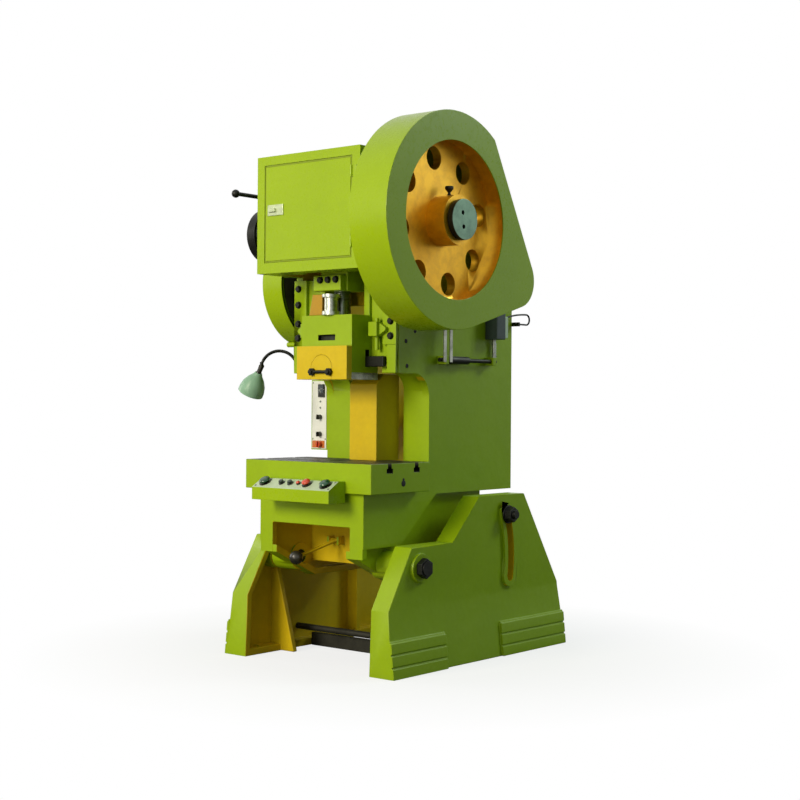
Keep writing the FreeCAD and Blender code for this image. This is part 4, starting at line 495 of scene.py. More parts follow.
@dataclass
class Studio:
    """A white floor that keeps the press's shadow, and soft lamps, the main one in front."""

    floor_half: float = 30.0
    floor_drop: float = 0.0005
    least_lift: float = 0.78
    world_colour: str = "d8f4e6"
    world_strength: float = 0.24
    shadow_reach: tuple[float, float] = (0.75, 1.7)
    lamps: tuple[tuple[str, Point, Point, float, float, str], ...] = (
        # name, place, aim, size, watts, colour
        ("key", (-0.9, -7.0, 3.4), (0.0, -0.4, 1.6), 2.2, 370.0, "fff4dc"),
        ("low_front", (0.6, -5.5, 0.7), (0.0, -0.3, 0.4), 1.6, 45.0, "fff4dc"),
        ("left_fill", (-6.0, -2.4, 2.6), (0.0, -0.4, 1.3), 2.4, 70.0, "fffaf0"),
        ("back_right", (3.4, 4.4, 4.6), (0.4, -0.3, 1.7), 1.6, 120.0, "ecfff4"),
    )

    def build(self) -> None:
        """Make the floor, the world and the lamps."""
        half = self.floor_half

        def sheet(work: bmesh.types.BMesh) -> None:
            """Lay one flat face."""
            corners = [work.verts.new((x, y, -self.floor_drop)) for x, y in
                       ((-half, -half), (half, -half), (half, half), (-half, half))]
            work.faces.new(corners)

        floor = mesh_from("studio_floor", sheet)
        floor.data.materials.append(self._floor_material())
        world = bpy.data.worlds.new("studio")
        bpy.context.scene.world = world
        world.use_nodes = True
        tree = world.node_tree
        tree.nodes.clear()
        path = add_node(tree, "ShaderNodeLightPath")
        clear = add_node(tree, "ShaderNodeMath", {"operation": "MAXIMUM"},
                         {0: path.outputs["Is Camera Ray"], 1: path.outputs["Is Transmission Ray"]})
        seen = add_node(tree, "ShaderNodeMath", {"operation": "MAXIMUM"},
                        {0: clear.outputs[0], 1: path.outputs["Is Glossy Ray"]})
        lit = add_node(tree, "ShaderNodeBackground", {"Color": srgb(self.world_colour),
                                                      "Strength": self.world_strength})
        white = add_node(tree, "ShaderNodeBackground", {"Color": (1, 1, 1, 1), "Strength": 1.0})
        mix = add_node(tree, "ShaderNodeMixShader", {}, {0: seen.outputs["Value"],
                                                         1: lit.outputs[0], 2: white.outputs[0]})
        add_node(tree, "ShaderNodeOutputWorld", {}, {"Surface": mix.outputs[0]})
        for name, place, aim, size, watts, colour in self.lamps:
            lamp = bpy.data.lights.new(name, "AREA")
            lamp.size = size
            lamp.energy = watts
            lamp.color = srgb(colour)[:3]
            thing = bpy.data.objects.new(name, lamp)
            thing.location = place
            thing.rotation_euler = (Vector(aim) - Vector(place)).to_track_quat("-Z", "Y").to_euler()
            bpy.context.scene.collection.objects.link(thing)

    def _floor_material(self) -> bpy.types.Material:
        """Matt white paper: seen white, with only the shadow showing."""
        made = bpy.data.materials.new("white_paper_floor")
        made.use_nodes = True
        tree = made.node_tree
        tree.nodes.clear()
        paper = add_node(tree, "ShaderNodeBsdfDiffuse", {"Color": srgb("fafafa")})
        path = add_node(tree, "ShaderNodeLightPath")
        glow = add_node(tree, "ShaderNodeEmission", {"Color": (1, 1, 1, 1), "Strength": 1.0})
        hidden = add_node(tree, "ShaderNodeBsdfDiffuse", {"Color": srgb("74746f")})
        # The paper is lifted to white for the camera, wholly so away from the press's foot
        place = add_node(tree, "ShaderNodeTexCoord").outputs["Object"]
        out = add_node(tree, "ShaderNodeVectorMath", {"operation": "LENGTH"}, {0: place})
        near, far = self.shadow_reach
        lift = add_node(tree, "ShaderNodeMapRange",
                        {"From Min": near, "From Max": far, "To Min": self.least_lift,
                         "To Max": 1.0},
                        {"Value": out.outputs["Value"]})
        lifted = add_node(tree, "ShaderNodeMixShader", {},
                          {0: lift.outputs["Result"], 1: paper.outputs[0], 2: glow.outputs[0]})
        mix = add_node(tree, "ShaderNodeMixShader", {}, {0: path.outputs["Is Camera Ray"],
                                                         1: hidden.outputs[0],
                                                         2: lifted.outputs[0]})
        add_node(tree, "ShaderNodeOutputMaterial", {}, {"Surface": mix.outputs[0]})
        return made


# ---------------------------------------------------------------------------------------------
# Carried-over pieces: rounded edges and two-paint castings
# ---------------------------------------------------------------------------------------------
# A paint rule takes a face's middle and the way it faces, and gives the number of its finish
PaintRule = Callable[[Vector, Vector], int]
# A point and a normal of a plane along which faces are parted before they are painted
Cut = tuple[Point, Point]

# Limits between paints, most of them a little off the face that they tell apart.
# Legs: their pivot as Y and Z, the arc slot round it, a height over the pads, the outer rim
PIVOT = (-0.410, 0.425)
ARC_SLOT_RADIUS = 0.624
ARC_SLOT_HALF = 0.0245
OVER_FOOT_PADS = 0.3
LEG_OUTER = 0.435
# Frame: half widths of its inside and throat, its back, and the heights between which the
# inside is yellow
FRAME_INSIDE = 0.255
THROAT_HALF = 0.16
FRAME_BACK = 0.43
OVER_TABLE = 0.75
YELLOW_TOP = 1.6
# Bolster plate: sides, front and back
BOLSTER_SIDE, BOLSTER_FRONT, BOLSTER_BACK = 0.3545, -0.6195, -0.2405
# Slide: its ways, the front of its body, and the tops of its yellow block and bright foot
SLIDE_WAY, SLIDE_FRONT, SLIDE_BLOCK_TOP, SLIDE_FOOT_TOP = 0.1425, -0.4995, 1.3335, 1.2226
# Where the crank's end plate starts, along X, and how far in the flywheel's green rim reaches
CRANK_PLATE = 0.6255
WHEEL_RIM = 0.216
# Lamp and lever: the holder and the ball are what lies this near to these points
LAMP_JOINT = Vector((-0.414, -0.470, 1.252))
LAMP_HOLDER_REACH = 0.0495
LEVER_BALL = Vector((-0.076, -0.596, 0.444))
LEVER_BALL_RADIUS = 0.0295


def frame_paint(middle: Vector, facing: Vector) -> int:
    """Green outside and on the front flanges, yellow inside the frame's hollows."""
    reach = abs(middle.x)
    outward = facing.x * math.copysign(1.0, middle.x)
    if outward > 0.5:
        return 0
    if outward < -0.5:
        return 0 if reach < THROAT_HALF and middle.z > OVER_TABLE else 1
    if facing.y < -0.5:
        return 0 if middle.y < -0.35 or (reach > 0.15 and -0.2 < middle.y < -0.16) else 1
    if facing.y > 0.5:
        return 0 if middle.y > FRAME_BACK else 1
    if facing.z < -0.3:
        return 1 if 0.58 < middle.z < 0.7 and reach < 0.256 else 0
    # The table's top is green too
    inside = reach < FRAME_INSIDE and middle.z < YELLOW_TOP
    return 1 if inside and not 0.72 < middle.z < 0.73 else 0


def leg_paint(middle: Vector, facing: Vector) -> int:
    """Green outside, yellow in the hollow that faces the middle and in the arc slot."""
    outward = facing.x * math.copysign(1.0, middle.x)
    from_pivot = math.hypot(middle.y - PIVOT[0], middle.z - PIVOT[1])
    if outward > 0.3:
        return 0
    if (abs(from_pivot - ARC_SLOT_RADIUS) < ARC_SLOT_HALF and middle.z > OVER_FOOT_PADS
            and middle.y > 0.05 and abs(middle.x) > 0.4):
        return 1
    if abs(middle.x) > LEG_OUTER:
        return 0
    if outward < -0.3:
        return 1
    if (-0.41 < middle.y < -0.37 or 0.10 < middle.y < 0.14) and abs(facing.y) > 0.5:
        return 1
    away = facing.y * middle.y + facing.z * (middle.z - 0.25)
    return 0 if away > 0 else 1


def bolster_paint(middle: Vector, facing: Vector) -> int:
    """Green sides, machined top, slots and bores."""
    edge = abs(middle.x) > BOLSTER_SIDE or not BOLSTER_FRONT <= middle.y <= BOLSTER_BACK
    return 1 if middle.z > 0.74 and not (edge and abs(facing.z) < 0.5) else 0


def slide_paint(middle: Vector, facing: Vector) -> int:
    """Green upper part, yellow front block, machined ways and a bright ground foot."""
    reach = abs(middle.x)
    if reach > SLIDE_WAY or (abs(facing.z) < 0.5 and reach < 0.1 and middle.y > -0.47):
        return 2
    # The slot in the slide's front takes the dark iron finish, as painted shade in the recess
    if reach < 0.049 and SLIDE_FRONT < middle.y < -0.47 and 1.355 < middle.z < 1.383:
        return 2
    if middle.z < SLIDE_BLOCK_TOP and middle.y < SLIDE_FRONT:
        return 1
    return 3 if middle.z < SLIDE_FOOT_TOP else 0


def gib_paint(middle: Vector, facing: Vector) -> int:
    """Green flange with a machined guide face."""
    return 1 if facing.x * math.copysign(1.0, middle.x) < -0.2 and abs(middle.x) < 0.21 else 0


def desk_paint(middle: Vector, facing: Vector) -> int:
    """Green box, pale sloping face and dark collars round the buttons."""
    over = -0.5145 * middle.y + 0.8575 * middle.z - 1.0058
    if over > 0.0004:
        return 2
    return 1 if facing.y < -0.3 and facing.z > 0.3 and over > -0.0008 else 0


def panel_paint(middle: Vector, facing: Vector) -> int:
    """White panel with a black meter case."""
    return 1 if middle.y < -0.1735 else 0


def flywheel_paint(middle: Vector, facing: Vector) -> int:
    """Green rim, and a dark web and hub that are painted shade in the wheel's recessed middle."""
    from_axis = math.hypot(middle.y - COUNTER[1], middle.z - COUNTER[2])
    return 0 if from_axis > WHEEL_RIM else 1


def crankshaft_paint(middle: Vector, facing: Vector) -> int:
    """Turned shaft, and an end plate with a ground grey face and an edge painted dark as shade."""
    if middle.x < CRANK_PLATE:
        return 0
    return 2 if facing.x > 0.5 else 1


def solenoid_paint(middle: Vector, facing: Vector) -> int:
    """Blue-grey coil case with a pale end bell."""
    return 1 if middle.y > 0.2945 else 0


def lamp_paint(middle: Vector, facing: Vector) -> int:
    """Black holder and opal bulb."""
    return 0 if (middle - LAMP_JOINT).length < LAMP_HOLDER_REACH else 1


def lever_paint(middle: Vector, facing: Vector) -> int:
    """Black ball, and a rod painted with the frame's yellow inside."""
    return 0 if (middle - LEVER_BALL).length < LEVER_BALL_RADIUS else 1


def folded_corners(mesh: bpy.types.Mesh) -> list[Vector]:
    """Find the corners of faces that a rounding has folded over.

    Args:
        mesh: The rounded mesh.

    Returns:
        Corners of every face with a triangle that looks the wrong way.
    """
    mesh.calc_loop_triangles()
    corners = []
    for triangle in mesh.loop_triangles:
        polygon = mesh.polygons[triangle.polygon_index]
        if triangle.area > 2e-6 and triangle.normal.dot(polygon.normal) < 0.2:
            corners += [mesh.vertices[index].co.copy() for index in polygon.vertices]
    return corners


@dataclass(frozen=True)
class CarriedPiece:
    """A CAD node finished for the eye: welded, its edges rounded, each face in its own paint.

    The real castings have fettled edges of 3 to 5 mm and the sheet metal bends of 1 to 2 mm.
    """

    node: str
    body: str
    slot: str
    finishes: tuple[str, ...]
    edge: float = 0.0
    paint: PaintRule | None = None
    cuts: tuple[Cut, ...] = ()
    smooth: float = 33.0

    def build(self, source: bpy.types.Object, palette: Palette) -> bpy.types.Object:
        """Make the finished copy and let it stand for the node.

        Args:
            source: The CAD node's object.
            palette: The finishes.

        Returns:
            The finished piece.
        """
        kept_sharp: list[Vector] = []
        piece = self._rounded(source, palette, kept_sharp)
        for _ in range(5):
            folded = folded_corners(piece.data) if self.edge else []
            if not folded:
                break
            kept_sharp += folded
            bpy.data.objects.remove(piece)
            piece = self._rounded(source, palette, kept_sharp)
        shade_by_angle(piece, self.smooth)
        if self.edge:
            # The flat faces stay flat and only the rounded edges turn the light
            level = piece.modifiers.new("flat_faces", "WEIGHTED_NORMAL")
            level.mode = "FACE_AREA"
            level.keep_sharp = True
            bake_modifiers(piece)
        finish_piece(piece, self.body, ())
        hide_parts(self.node)
        return piece

    def _rounded(self, source: bpy.types.Object, palette: Palette, kept_sharp: Sequence[Vector]
                 ) -> bpy.types.Object:
        """Weld, paint and round a copy of the node.

        Args:
            source: The CAD node's object.
            palette: The finishes.
            kept_sharp: Corners whose edges stay sharp.

        Returns:
            The rounded piece.
        """
        work = bmesh.new()
        work.from_mesh(source.data)
        bmesh.ops.remove_doubles(work, verts=work.verts[:], dist=1e-5)
        bmesh.ops.dissolve_limit(work, angle_limit=math.radians(0.5), verts=work.verts[:],
                                 edges=work.edges[:])
        for point, normal in self.cuts:
            bmesh.ops.bisect_plane(work, geom=work.verts[:] + work.edges[:] + work.faces[:],
                                   plane_co=point, plane_no=normal, dist=1e-5)
        if self.paint:
            for face in work.faces:
                face.material_index = self.paint(face.calc_center_median(), face.normal)
        if self.edge:
            self._weigh_edges(work, kept_sharp)
        mesh = bpy.data.meshes.new(self.node)
        work.to_mesh(mesh)
        work.free()
        for name in self.finishes:
            mesh.materials.append(palette[name])
        piece = new_mesh_object(f"{self.node}_finished", mesh)
        if self.edge:
            bevel = piece.modifiers.new("fettled_edges", "BEVEL")
            bevel.width = self.edge
            bevel.segments = 2
            bevel.limit_method = "WEIGHT"
            bevel.use_clamp_overlap = False
            bevel.miter_outer = "MITER_ARC"
            bake_modifiers(piece)
        return piece

    def _weigh_edges(self, work: bmesh.types.BMesh, kept_sharp: Sequence[Vector]) -> None:
        """Give each sharp edge a rounding that its shortest neighbour leaves room for.

        Args:
            work: The welded mesh.
            kept_sharp: Corners whose edges stay sharp.
        """
        near = KDTree(len(kept_sharp))
        for index, corner in enumerate(kept_sharp):
            near.insert(corner, index)
        near.balance()
        layer = work.edges.layers.float.new("bevel_weight_edge")
        for edge in work.edges:
            if len(edge.link_faces) != 2 or edge.calc_face_angle(0.0) < math.radians(38):
                continue
            if kept_sharp and all(near.find(vert.co)[2] < 1.7 * self.edge for vert in edge.verts):
                continue
            shortest = min(other.calc_length() for vert in edge.verts for other in vert.link_edges)
            edge[layer] = max(0.0, min(1.0, shortest / (2.3 * self.edge)))


GREEN = "green_enamel_on_casting"
SHEET = "green_enamel_on_sheet"
YELLOW = "yellow_enamel_on_casting"
DARK = "blackened_steel"
IRON = "ground_dark_iron"

def carry(body: str, *rows: tuple) -> tuple[CarriedPiece, ...]:
    """Carry over the nodes of one body.

    Args:
        body: The body they ride on.
        rows: Each piece's node, slot and finishes, and then its edge, paint, cuts and smoothing.

    Returns:
        The pieces.
    """
    return tuple(CarriedPiece(node, body, *rest) for node, *rest in rows)


CARRIED: tuple[CarriedPiece, ...] = (
    *carry(
        "base",
        ("left_leg", "green_paint", (GREEN, YELLOW), 0.005, leg_paint),
        ("right_leg", "green_paint", (GREEN, YELLOW), 0.005, leg_paint),
        ("base_ties", "cast_iron", ("cast_iron_bare",), 0.003),
        ("pivot_pins", "dark_steel", (DARK,), 0.003),
        ("pivot_nuts", "bright_steel", (DARK,), 0.002)),
    *carry(
        "frame",
        ("press_frame", "green_paint", (GREEN, YELLOW), 0.004, frame_paint),
        ("bearing_bushes", "bronze", ("bored_bronze",), 0.001),
        ("bolster_plate", "green_paint", (GREEN, IRON), 0.003, bolster_paint),
        ("tilt_lock_bolts", "bright_steel", (DARK,), 0.002),
        ("throat_box", "yellow_paint", (YELLOW,), 0.003),
        ("gibs", "green_paint", (GREEN, IRON), 0.002, gib_paint),
        ("stop_brackets", "green_paint", (GREEN,), 0.002),
        ("gear_cover", "green_paint", (SHEET,), 0.002),
        ("belt_guard", "green_paint", (SHEET,), 0.0),
        ("drive_belts", "rubber", ("belt_rubber",), 0.001),
        ("motor", "motor_green", ("green_enamel_on_motor",), 0.0015),
        ("motor_bracket", "green_paint", (GREEN,), 0.002),
        ("crank_cover", "green_paint", (SHEET,), 0.0018),
        ("brake_band", "dark_steel", (DARK,), 0.002),
        ("control_desk", "green_paint", (SHEET, "pale_enamel_face", "black_phenolic"), 0.0012,
         desk_paint),
        ("electrical_cabinet", "green_paint", (SHEET,), 0.002),
        ("cabinet_panel", "white_panel", ("white_enamel_panel", "black_phenolic"), 0.001,
         panel_paint),
        ("trip_bearings", "green_paint", (GREEN,), 0.002),
        ("solenoid", "green_paint", ("blue_grey_enamel", "pale_enamel_face"), 0.003,
         solenoid_paint),
        ("lamp_neck", "bright_steel", (DARK,), 0.0006),
        ("conduit", "dark_steel", (DARK,), 0.0)),
    *carry("door", ("door_handle", "bright_steel", ("satin_chrome",), 0.0012)),
    *carry(
        "crank",
        ("crankshaft", "bright_steel", ("turned_steel", DARK, "face_turned_steel"), 0.002,
         crankshaft_paint),
        ("brake_drum", "machined_iron", ("turned_iron",), 0.002)),
    *carry(
        "rod",
        ("connecting_rod", "green_paint", (GREEN,), 0.003),
        ("rod_cap", "green_paint", (GREEN,), 0.004),
        ("ball_screw", "bright_steel", ("turned_steel_upright",), 0.0)),
    *carry(
        "ram",
        ("slide", "green_paint", (GREEN, YELLOW, IRON, "milled_steel"), 0.002, slide_paint,
         (((0, -0.500, 0), (0, 1, 0)), ((0, 0, 1.2222), (0, 0, 1)))),
        ("shank_clamp", "yellow_paint", (YELLOW,), 0.002),
        ("clamp_nuts", "dark_steel", (DARK,), 0.0015),
        ("slide_cap", "yellow_paint", ("ochre_enamel",), 0.003),
        ("lock_ring", "bright_steel", ("turned_spool",), 0.002)),
    *carry("knockout", ("knockout_bar", "dark_steel", (DARK,), 0.003)),
    *carry(
        "gear",
        ("bull_gear", "gear_iron", ("gold_bronze_paint_on_gear",), 0.0, None, (), 28.0)),
    *carry(
        "drive_shaft",
        ("countershaft", "bright_steel", ("turned_countershaft",), 0.002),
        ("pinion", "machined_iron", (IRON,), 0.0),
        ("flywheel", "green_paint", (GREEN, "cast_iron_bare"), 0.003, flywheel_paint)),
    *carry("pulley", ("motor_pulley", "cast_iron", ("cast_iron_bare",), 0.001)),
    *carry("knob_upper", ("upper_knob", "black_plastic", ("black_phenolic",), 0.0012)),
    *carry("knob_lower", ("lower_knob", "black_plastic", ("black_phenolic",), 0.0012)),
    *carry("isolator", ("isolator_switch", "red_plastic", ("red_acrylic",), 0.0012)),
    *carry("trip", ("trip_shaft", "dark_steel", (DARK,), 0.001)),
    *carry("pull_rods", ("trip_rods", "bright_steel", ("milled_steel",), 0.0008)),
    *carry("link", ("solenoid_link", "bright_steel", ("turned_steel_upright",), 0.0006)),
    *carry(
        "lamp",
        ("lamp_shade", "lamp_enamel", ("hammered_blue_green_enamel",), 0.0006),
        ("lamp_bulb", "glass", ("black_phenolic", "opal_glass"), 0.0, lamp_paint)),
    *carry(
        "lever",
        ("release_lever", "black_plastic", ("black_phenolic", YELLOW), 0.0, lever_paint)),
)


# ---------------------------------------------------------------------------------------------
# Geometry node trees: what repeats or follows a path
# ---------------------------------------------------------------------------------------------
def start_tree(name: str, inputs: Sequence[tuple[str, str, object]]
               ) -> tuple[bpy.types.NodeTree, bpy.types.Node]:
    """Start a geometry node tree with named inputs.

    Args:
        name: The tree's name.
        inputs: Name, socket type and default value of each input after the geometry.

    Returns:
        The tree and its group input node.
    """
    tree = bpy.data.node_groups.new(name, "GeometryNodeTree")
    tree.interface.new_socket("Geometry", in_out="INPUT", socket_type="NodeSocketGeometry")
    for label, kind, value in inputs:
        socket = tree.interface.new_socket(label, in_out="INPUT", socket_type=kind)
        if value is not None:
            socket.default_value = value
    tree.interface.new_socket("Geometry", in_out="OUTPUT", socket_type="NodeSocketGeometry")
    return tree, add_node(tree, "NodeGroupInput")


def end_tree(tree: bpy.types.NodeTree, geometry: bpy.types.NodeSocket,
             material: bpy.types.NodeSocket) -> None:
    """End a tree in real geometry with its material."""
    real = add_node(tree, "GeometryNodeRealizeInstances", {}, {0: geometry})
    coated = add_node(tree, "GeometryNodeSetMaterial", {},
                      {"Geometry": real.outputs[0], "Material": material})
    add_node(tree, "NodeGroupOutput", {}, {0: coated.outputs[0]})


def run_tree(thing: bpy.types.Object, tree: bpy.types.NodeTree, values: dict[str, object]) -> None:
    """Run a tree on an object and keep the result as plain mesh.

    Args:
        thing: The object that holds the points or the path.
        tree: The node tree.
        values: Input names with their values.
    """
    modifier = thing.modifiers.new(tree.name, "NODES")
    modifier.node_group = tree
    for item in tree.interface.items_tree:
        if item.item_type == "SOCKET" and item.in_out == "INPUT" and item.name in values:
            modifier[item.identifier] = values[item.name]
    thing.update_tag()
    bpy.context.view_layer.update()
    bake_modifiers(thing)


@dataclass(frozen=True)
class Screw:
    """One screw head's place: its foot, the way it faces, and its size."""

    foot: Point
    facing: Point
    half: float
    high: float


class HeadKind(Enum):
    """Kinds of screw head, by their number of sides."""

    HEXAGON = 6
    PAN = 20


class ScrewHeads:
    """Screw heads with a washer and a chamfered crown, set on points by a node tree."""

    def __init__(self) -> None:
        """Build the tree once."""
        tree, given = start_tree("screw_heads", (
            ("Sides", "NodeSocketInt", 6), ("Chamfer", "NodeSocketFloat", 0.22),
            ("Crown", "NodeSocketFloat", 0.84), ("Washer Reach", "NodeSocketFloat", 1.3),
            ("Washer Height", "NodeSocketFloat", 0.16), ("Material", "NodeSocketMaterial", None)))
        body_high = add_node(tree, "ShaderNodeMath", {"operation": "SUBTRACT", 0: 1.0},
                             {1: given.outputs["Chamfer"]})
        shank = add_node(tree, "GeometryNodeMeshCylinder", {"Radius": 1.0},
                         {"Vertices": given.outputs["Sides"], "Depth": body_high.outputs[0]})
        half = add_node(tree, "ShaderNodeMath", {"operation": "MULTIPLY", 1: 0.5},
                        {0: body_high.outputs[0]})
        lift = add_node(tree, "ShaderNodeCombineXYZ", {}, {"Z": half.outputs[0]})
        shank_up = add_node(tree, "GeometryNodeTransform", {},
                            {"Geometry": shank.outputs[0], "Translation": lift.outputs[0]})
        crown = add_node(tree, "GeometryNodeMeshCone", {"Radius Bottom": 1.0},
                         {"Vertices": given.outputs["Sides"], "Radius Top": given.outputs["Crown"],
                          "Depth": given.outputs["Chamfer"]})
        top = add_node(tree, "ShaderNodeCombineXYZ", {}, {"Z": body_high.outputs[0]})
        crown_up = add_node(tree, "GeometryNodeTransform", {},
                            {"Geometry": crown.outputs[0], "Translation": top.outputs[0]})
        washer = add_node(tree, "GeometryNodeMeshCylinder", {"Vertices": 24},
                          {"Radius": given.outputs["Washer Reach"],
                           "Depth": given.outputs["Washer Height"]})
        head = add_node(tree, "GeometryNodeJoinGeometry")
        for part in (washer, crown_up, shank_up):
            tree.links.new(part.outputs[0], head.inputs[0])
        facing = add_node(tree, "GeometryNodeInputNamedAttribute",
                          {"data_type": "FLOAT_VECTOR", "Name": "facing"})
        size = add_node(tree, "GeometryNodeInputNamedAttribute",
                        {"data_type": "FLOAT_VECTOR", "Name": "size"})
        turn = add_node(tree, "FunctionNodeAlignRotationToVector", {"axis": "Z"},
                        {"Vector": facing.outputs[0]})
        placed = add_node(tree, "GeometryNodeInstanceOnPoints", {},
                          {"Points": given.outputs["Geometry"], "Instance": head.outputs[0],
                           "Rotation": turn.outputs[0], "Scale": size.outputs[0]})
        end_tree(tree, placed.outputs[0], given.outputs["Material"])
        self._tree = tree

    def build(self, name: str, screws: Sequence[Screw], material: bpy.types.Material,
              kind: HeadKind = HeadKind.HEXAGON, washer: float = 1.3) -> bpy.types.Object:
        """Set heads at their places.

        Args:
            name: Name of the piece.
            screws: The places.
            material: Their finish.
            kind: Hexagon or pan head.
            washer: Washer radius as a share of the head's.

        Returns:
            One mesh object with all the heads.
        """
        mesh = bpy.data.meshes.new(name)
        mesh.from_pydata([screw.foot for screw in screws], [], [])
        facing = mesh.attributes.new("facing", "FLOAT_VECTOR", "POINT")
        size = mesh.attributes.new("size", "FLOAT_VECTOR", "POINT")
        for index, screw in enumerate(screws):
            facing.data[index].vector = screw.facing
            size.data[index].vector = (screw.half, screw.half, screw.high)
        thing = new_mesh_object(name, mesh)
        crown = 0.84 if kind is HeadKind.HEXAGON else 0.6
        run_tree(thing, self._tree, {"Sides": kind.value, "Crown": crown, "Material": material,
                                     "Washer Reach": washer})
        shade_by_angle(thing, 30)
        return thing


class RibbedSleeve:
    """A ribbed tube along a path, as on a gooseneck."""

    def __init__(self) -> None:
        """Build the tree once."""
        tree, given = start_tree("ribbed_sleeve", (
            ("Radius", "NodeSocketFloat", 0.007), ("Pitch", "NodeSocketFloat", 0.004),
            ("Rib", "NodeSocketFloat", 0.12), ("Material", "NodeSocketMaterial", None)))
        quarter = add_node(tree, "ShaderNodeMath", {"operation": "MULTIPLY", 1: 0.25},
                           {0: given.outputs["Pitch"]})
        path = add_node(tree, "GeometryNodeMeshToCurve", {}, {0: given.outputs["Geometry"]})
        fine = add_node(tree, "GeometryNodeResampleCurve", {"mode": "LENGTH"},
                        {"Curve": path.outputs[0], "Length": quarter.outputs[0]})
        index = add_node(tree, "GeometryNodeInputIndex")
        phase = add_node(tree, "ShaderNodeMath", {"operation": "MULTIPLY", 1: math.pi / 2},
                         {0: index.outputs[0]})
        wave = add_node(tree, "ShaderNodeMath", {"operation": "SINE"}, {0: phase.outputs[0]})
        swell = add_node(tree, "ShaderNodeMath", {"operation": "MULTIPLY_ADD", 2: 1.0},
                         {0: wave.outputs[0], 1: given.outputs["Rib"]})
        radius = add_node(tree, "ShaderNodeMath", {"operation": "MULTIPLY"},
                          {0: swell.outputs[0], 1: given.outputs["Radius"]})
        sized = add_node(tree, "GeometryNodeSetCurveRadius", {},
                         {"Curve": fine.outputs[0], "Radius": radius.outputs[0]})
        ring = add_node(tree, "GeometryNodeCurvePrimitiveCircle", {"Resolution": 12, "Radius": 1.0})
        links = {"Curve": sized.outputs[0], "Profile Curve": ring.outputs[0]}
        tube = add_node(tree, "GeometryNodeCurveToMesh", {"Fill Caps": True}, links)
        if "Scale" in tube.inputs:
            tree.links.new(radius.outputs[0], tube.inputs["Scale"])
        end_tree(tree, tube.outputs[0], given.outputs["Material"])
        self._tree = tree

    def build(self, name: str, path: Sequence[Point], radius: float, pitch: float,
              material: bpy.types.Material) -> bpy.types.Object:
        """Sweep the sleeve along a path.

        Args:
            name: Name of the piece.
            path: Points of the path.
            radius: Middle radius.
            pitch: Distance between ribs.
            material: Its finish.

        Returns:
            The sleeve.
        """
        mesh = bpy.data.meshes.new(name)
        mesh.from_pydata(list(path), [(at, at + 1) for at in range(len(path) - 1)], [])
        thing = new_mesh_object(name, mesh)
        run_tree(thing, self._tree, {"Radius": radius, "Pitch": pitch, "Material": material})
        shade_by_angle(thing, 60)
        return thing


def arc_points(start: Point, end: Point, bulge: Point, count: int = 24) -> list[Point]:
    """Points of the circle arc through start, end and the bulged middle.

    Args:
        start: First point.
        end: Last point.
        bulge: How far the middle lies off the straight line.
        count: Number of runs.

    Returns:
        The points.
    """
    first, last = Vector(start), Vector(end)
    middle = (first + last) / 2 + Vector(bulge)
    side_a, side_b = middle - first, last - first
    normal = side_a.cross(side_b)
    centre = first + (normal.cross(side_a) * side_b.length_squared
                      + side_b.cross(normal) * side_a.length_squared) / (2 * normal.length_squared)
    arm = first - centre
    axis = normal.normalized()
    sweep = arm.angle(last - centre)
    if (Matrix.Rotation(sweep, 3, axis) @ arm - (last - centre)).length > 1e-4:
        sweep = -sweep
    return [tuple(centre + Matrix.Rotation(sweep * step / count, 3, axis) @ arm)
            for step in range(count + 1)]


def lathe(work: bmesh.types.BMesh, profile: Sequence[tuple[float, float]], place: Matrix,
          steps: int = 32) -> None:
    """Turn a (radius, height) profile about Z and set it in place.

    Args:
        work: The mesh that takes it.
        profile: Points from the foot's centre to the top's centre.
        place: Where its own origin and Z axis go.
        steps: Number of sides.
    """
    rings = []
    for radius, height in profile:
        ring = []
        for step in range(steps if radius > 1e-6 else 1):
            angle = 2 * math.pi * step / steps
            ring.append(work.verts.new(place @ Vector((radius * math.cos(angle),
                                                       radius * math.sin(angle), height))))
        rings.append(ring)
    for low, high in zip(rings, rings[1:]):
        for step in range(steps):
            after = (step + 1) % steps
            corners = [low[step % len(low)], low[after % len(low)],
                       high[after % len(high)], high[step % len(high)]]
            unique = list(dict.fromkeys(corners))
            if len(unique) > 2:
                work.faces.new(unique)


def box_into(work: bmesh.types.BMesh, low: Point, high: Point) -> None:
    """Add a box between two corners."""
    middle = (Vector(low) + Vector(high)) / 2
    span = Vector(high) - Vector(low)
    bmesh.ops.create_cube(work, size=1.0,
                          matrix=Matrix.Translation(middle) @ Matrix.Diagonal((*span, 1.0)))


def slanted_bar(work: bmesh.types.BMesh, centre: Vector, degrees: float, size: Point) -> None:
    """Add a thin bar, turned about Y.

    Args:
        work: The mesh that takes it.
        centre: Its middle.
        degrees: How far it is turned.
        size: Its width, depth and height.
    """
    bmesh.ops.create_cube(work, size=1.0, matrix=Matrix.Translation(centre)
                          @ Matrix.Rotation(math.radians(degrees), 4, "Y")
                          @ Matrix.Diagonal((*size, 1.0)))


def toward(way: Point, foot: Point) -> Matrix:
    """The place of a lathe shape that stands at foot and points along way."""
    return Matrix.Translation(foot) @ Vector(way).to_track_quat("Z", "Y").to_matrix().to_4x4()


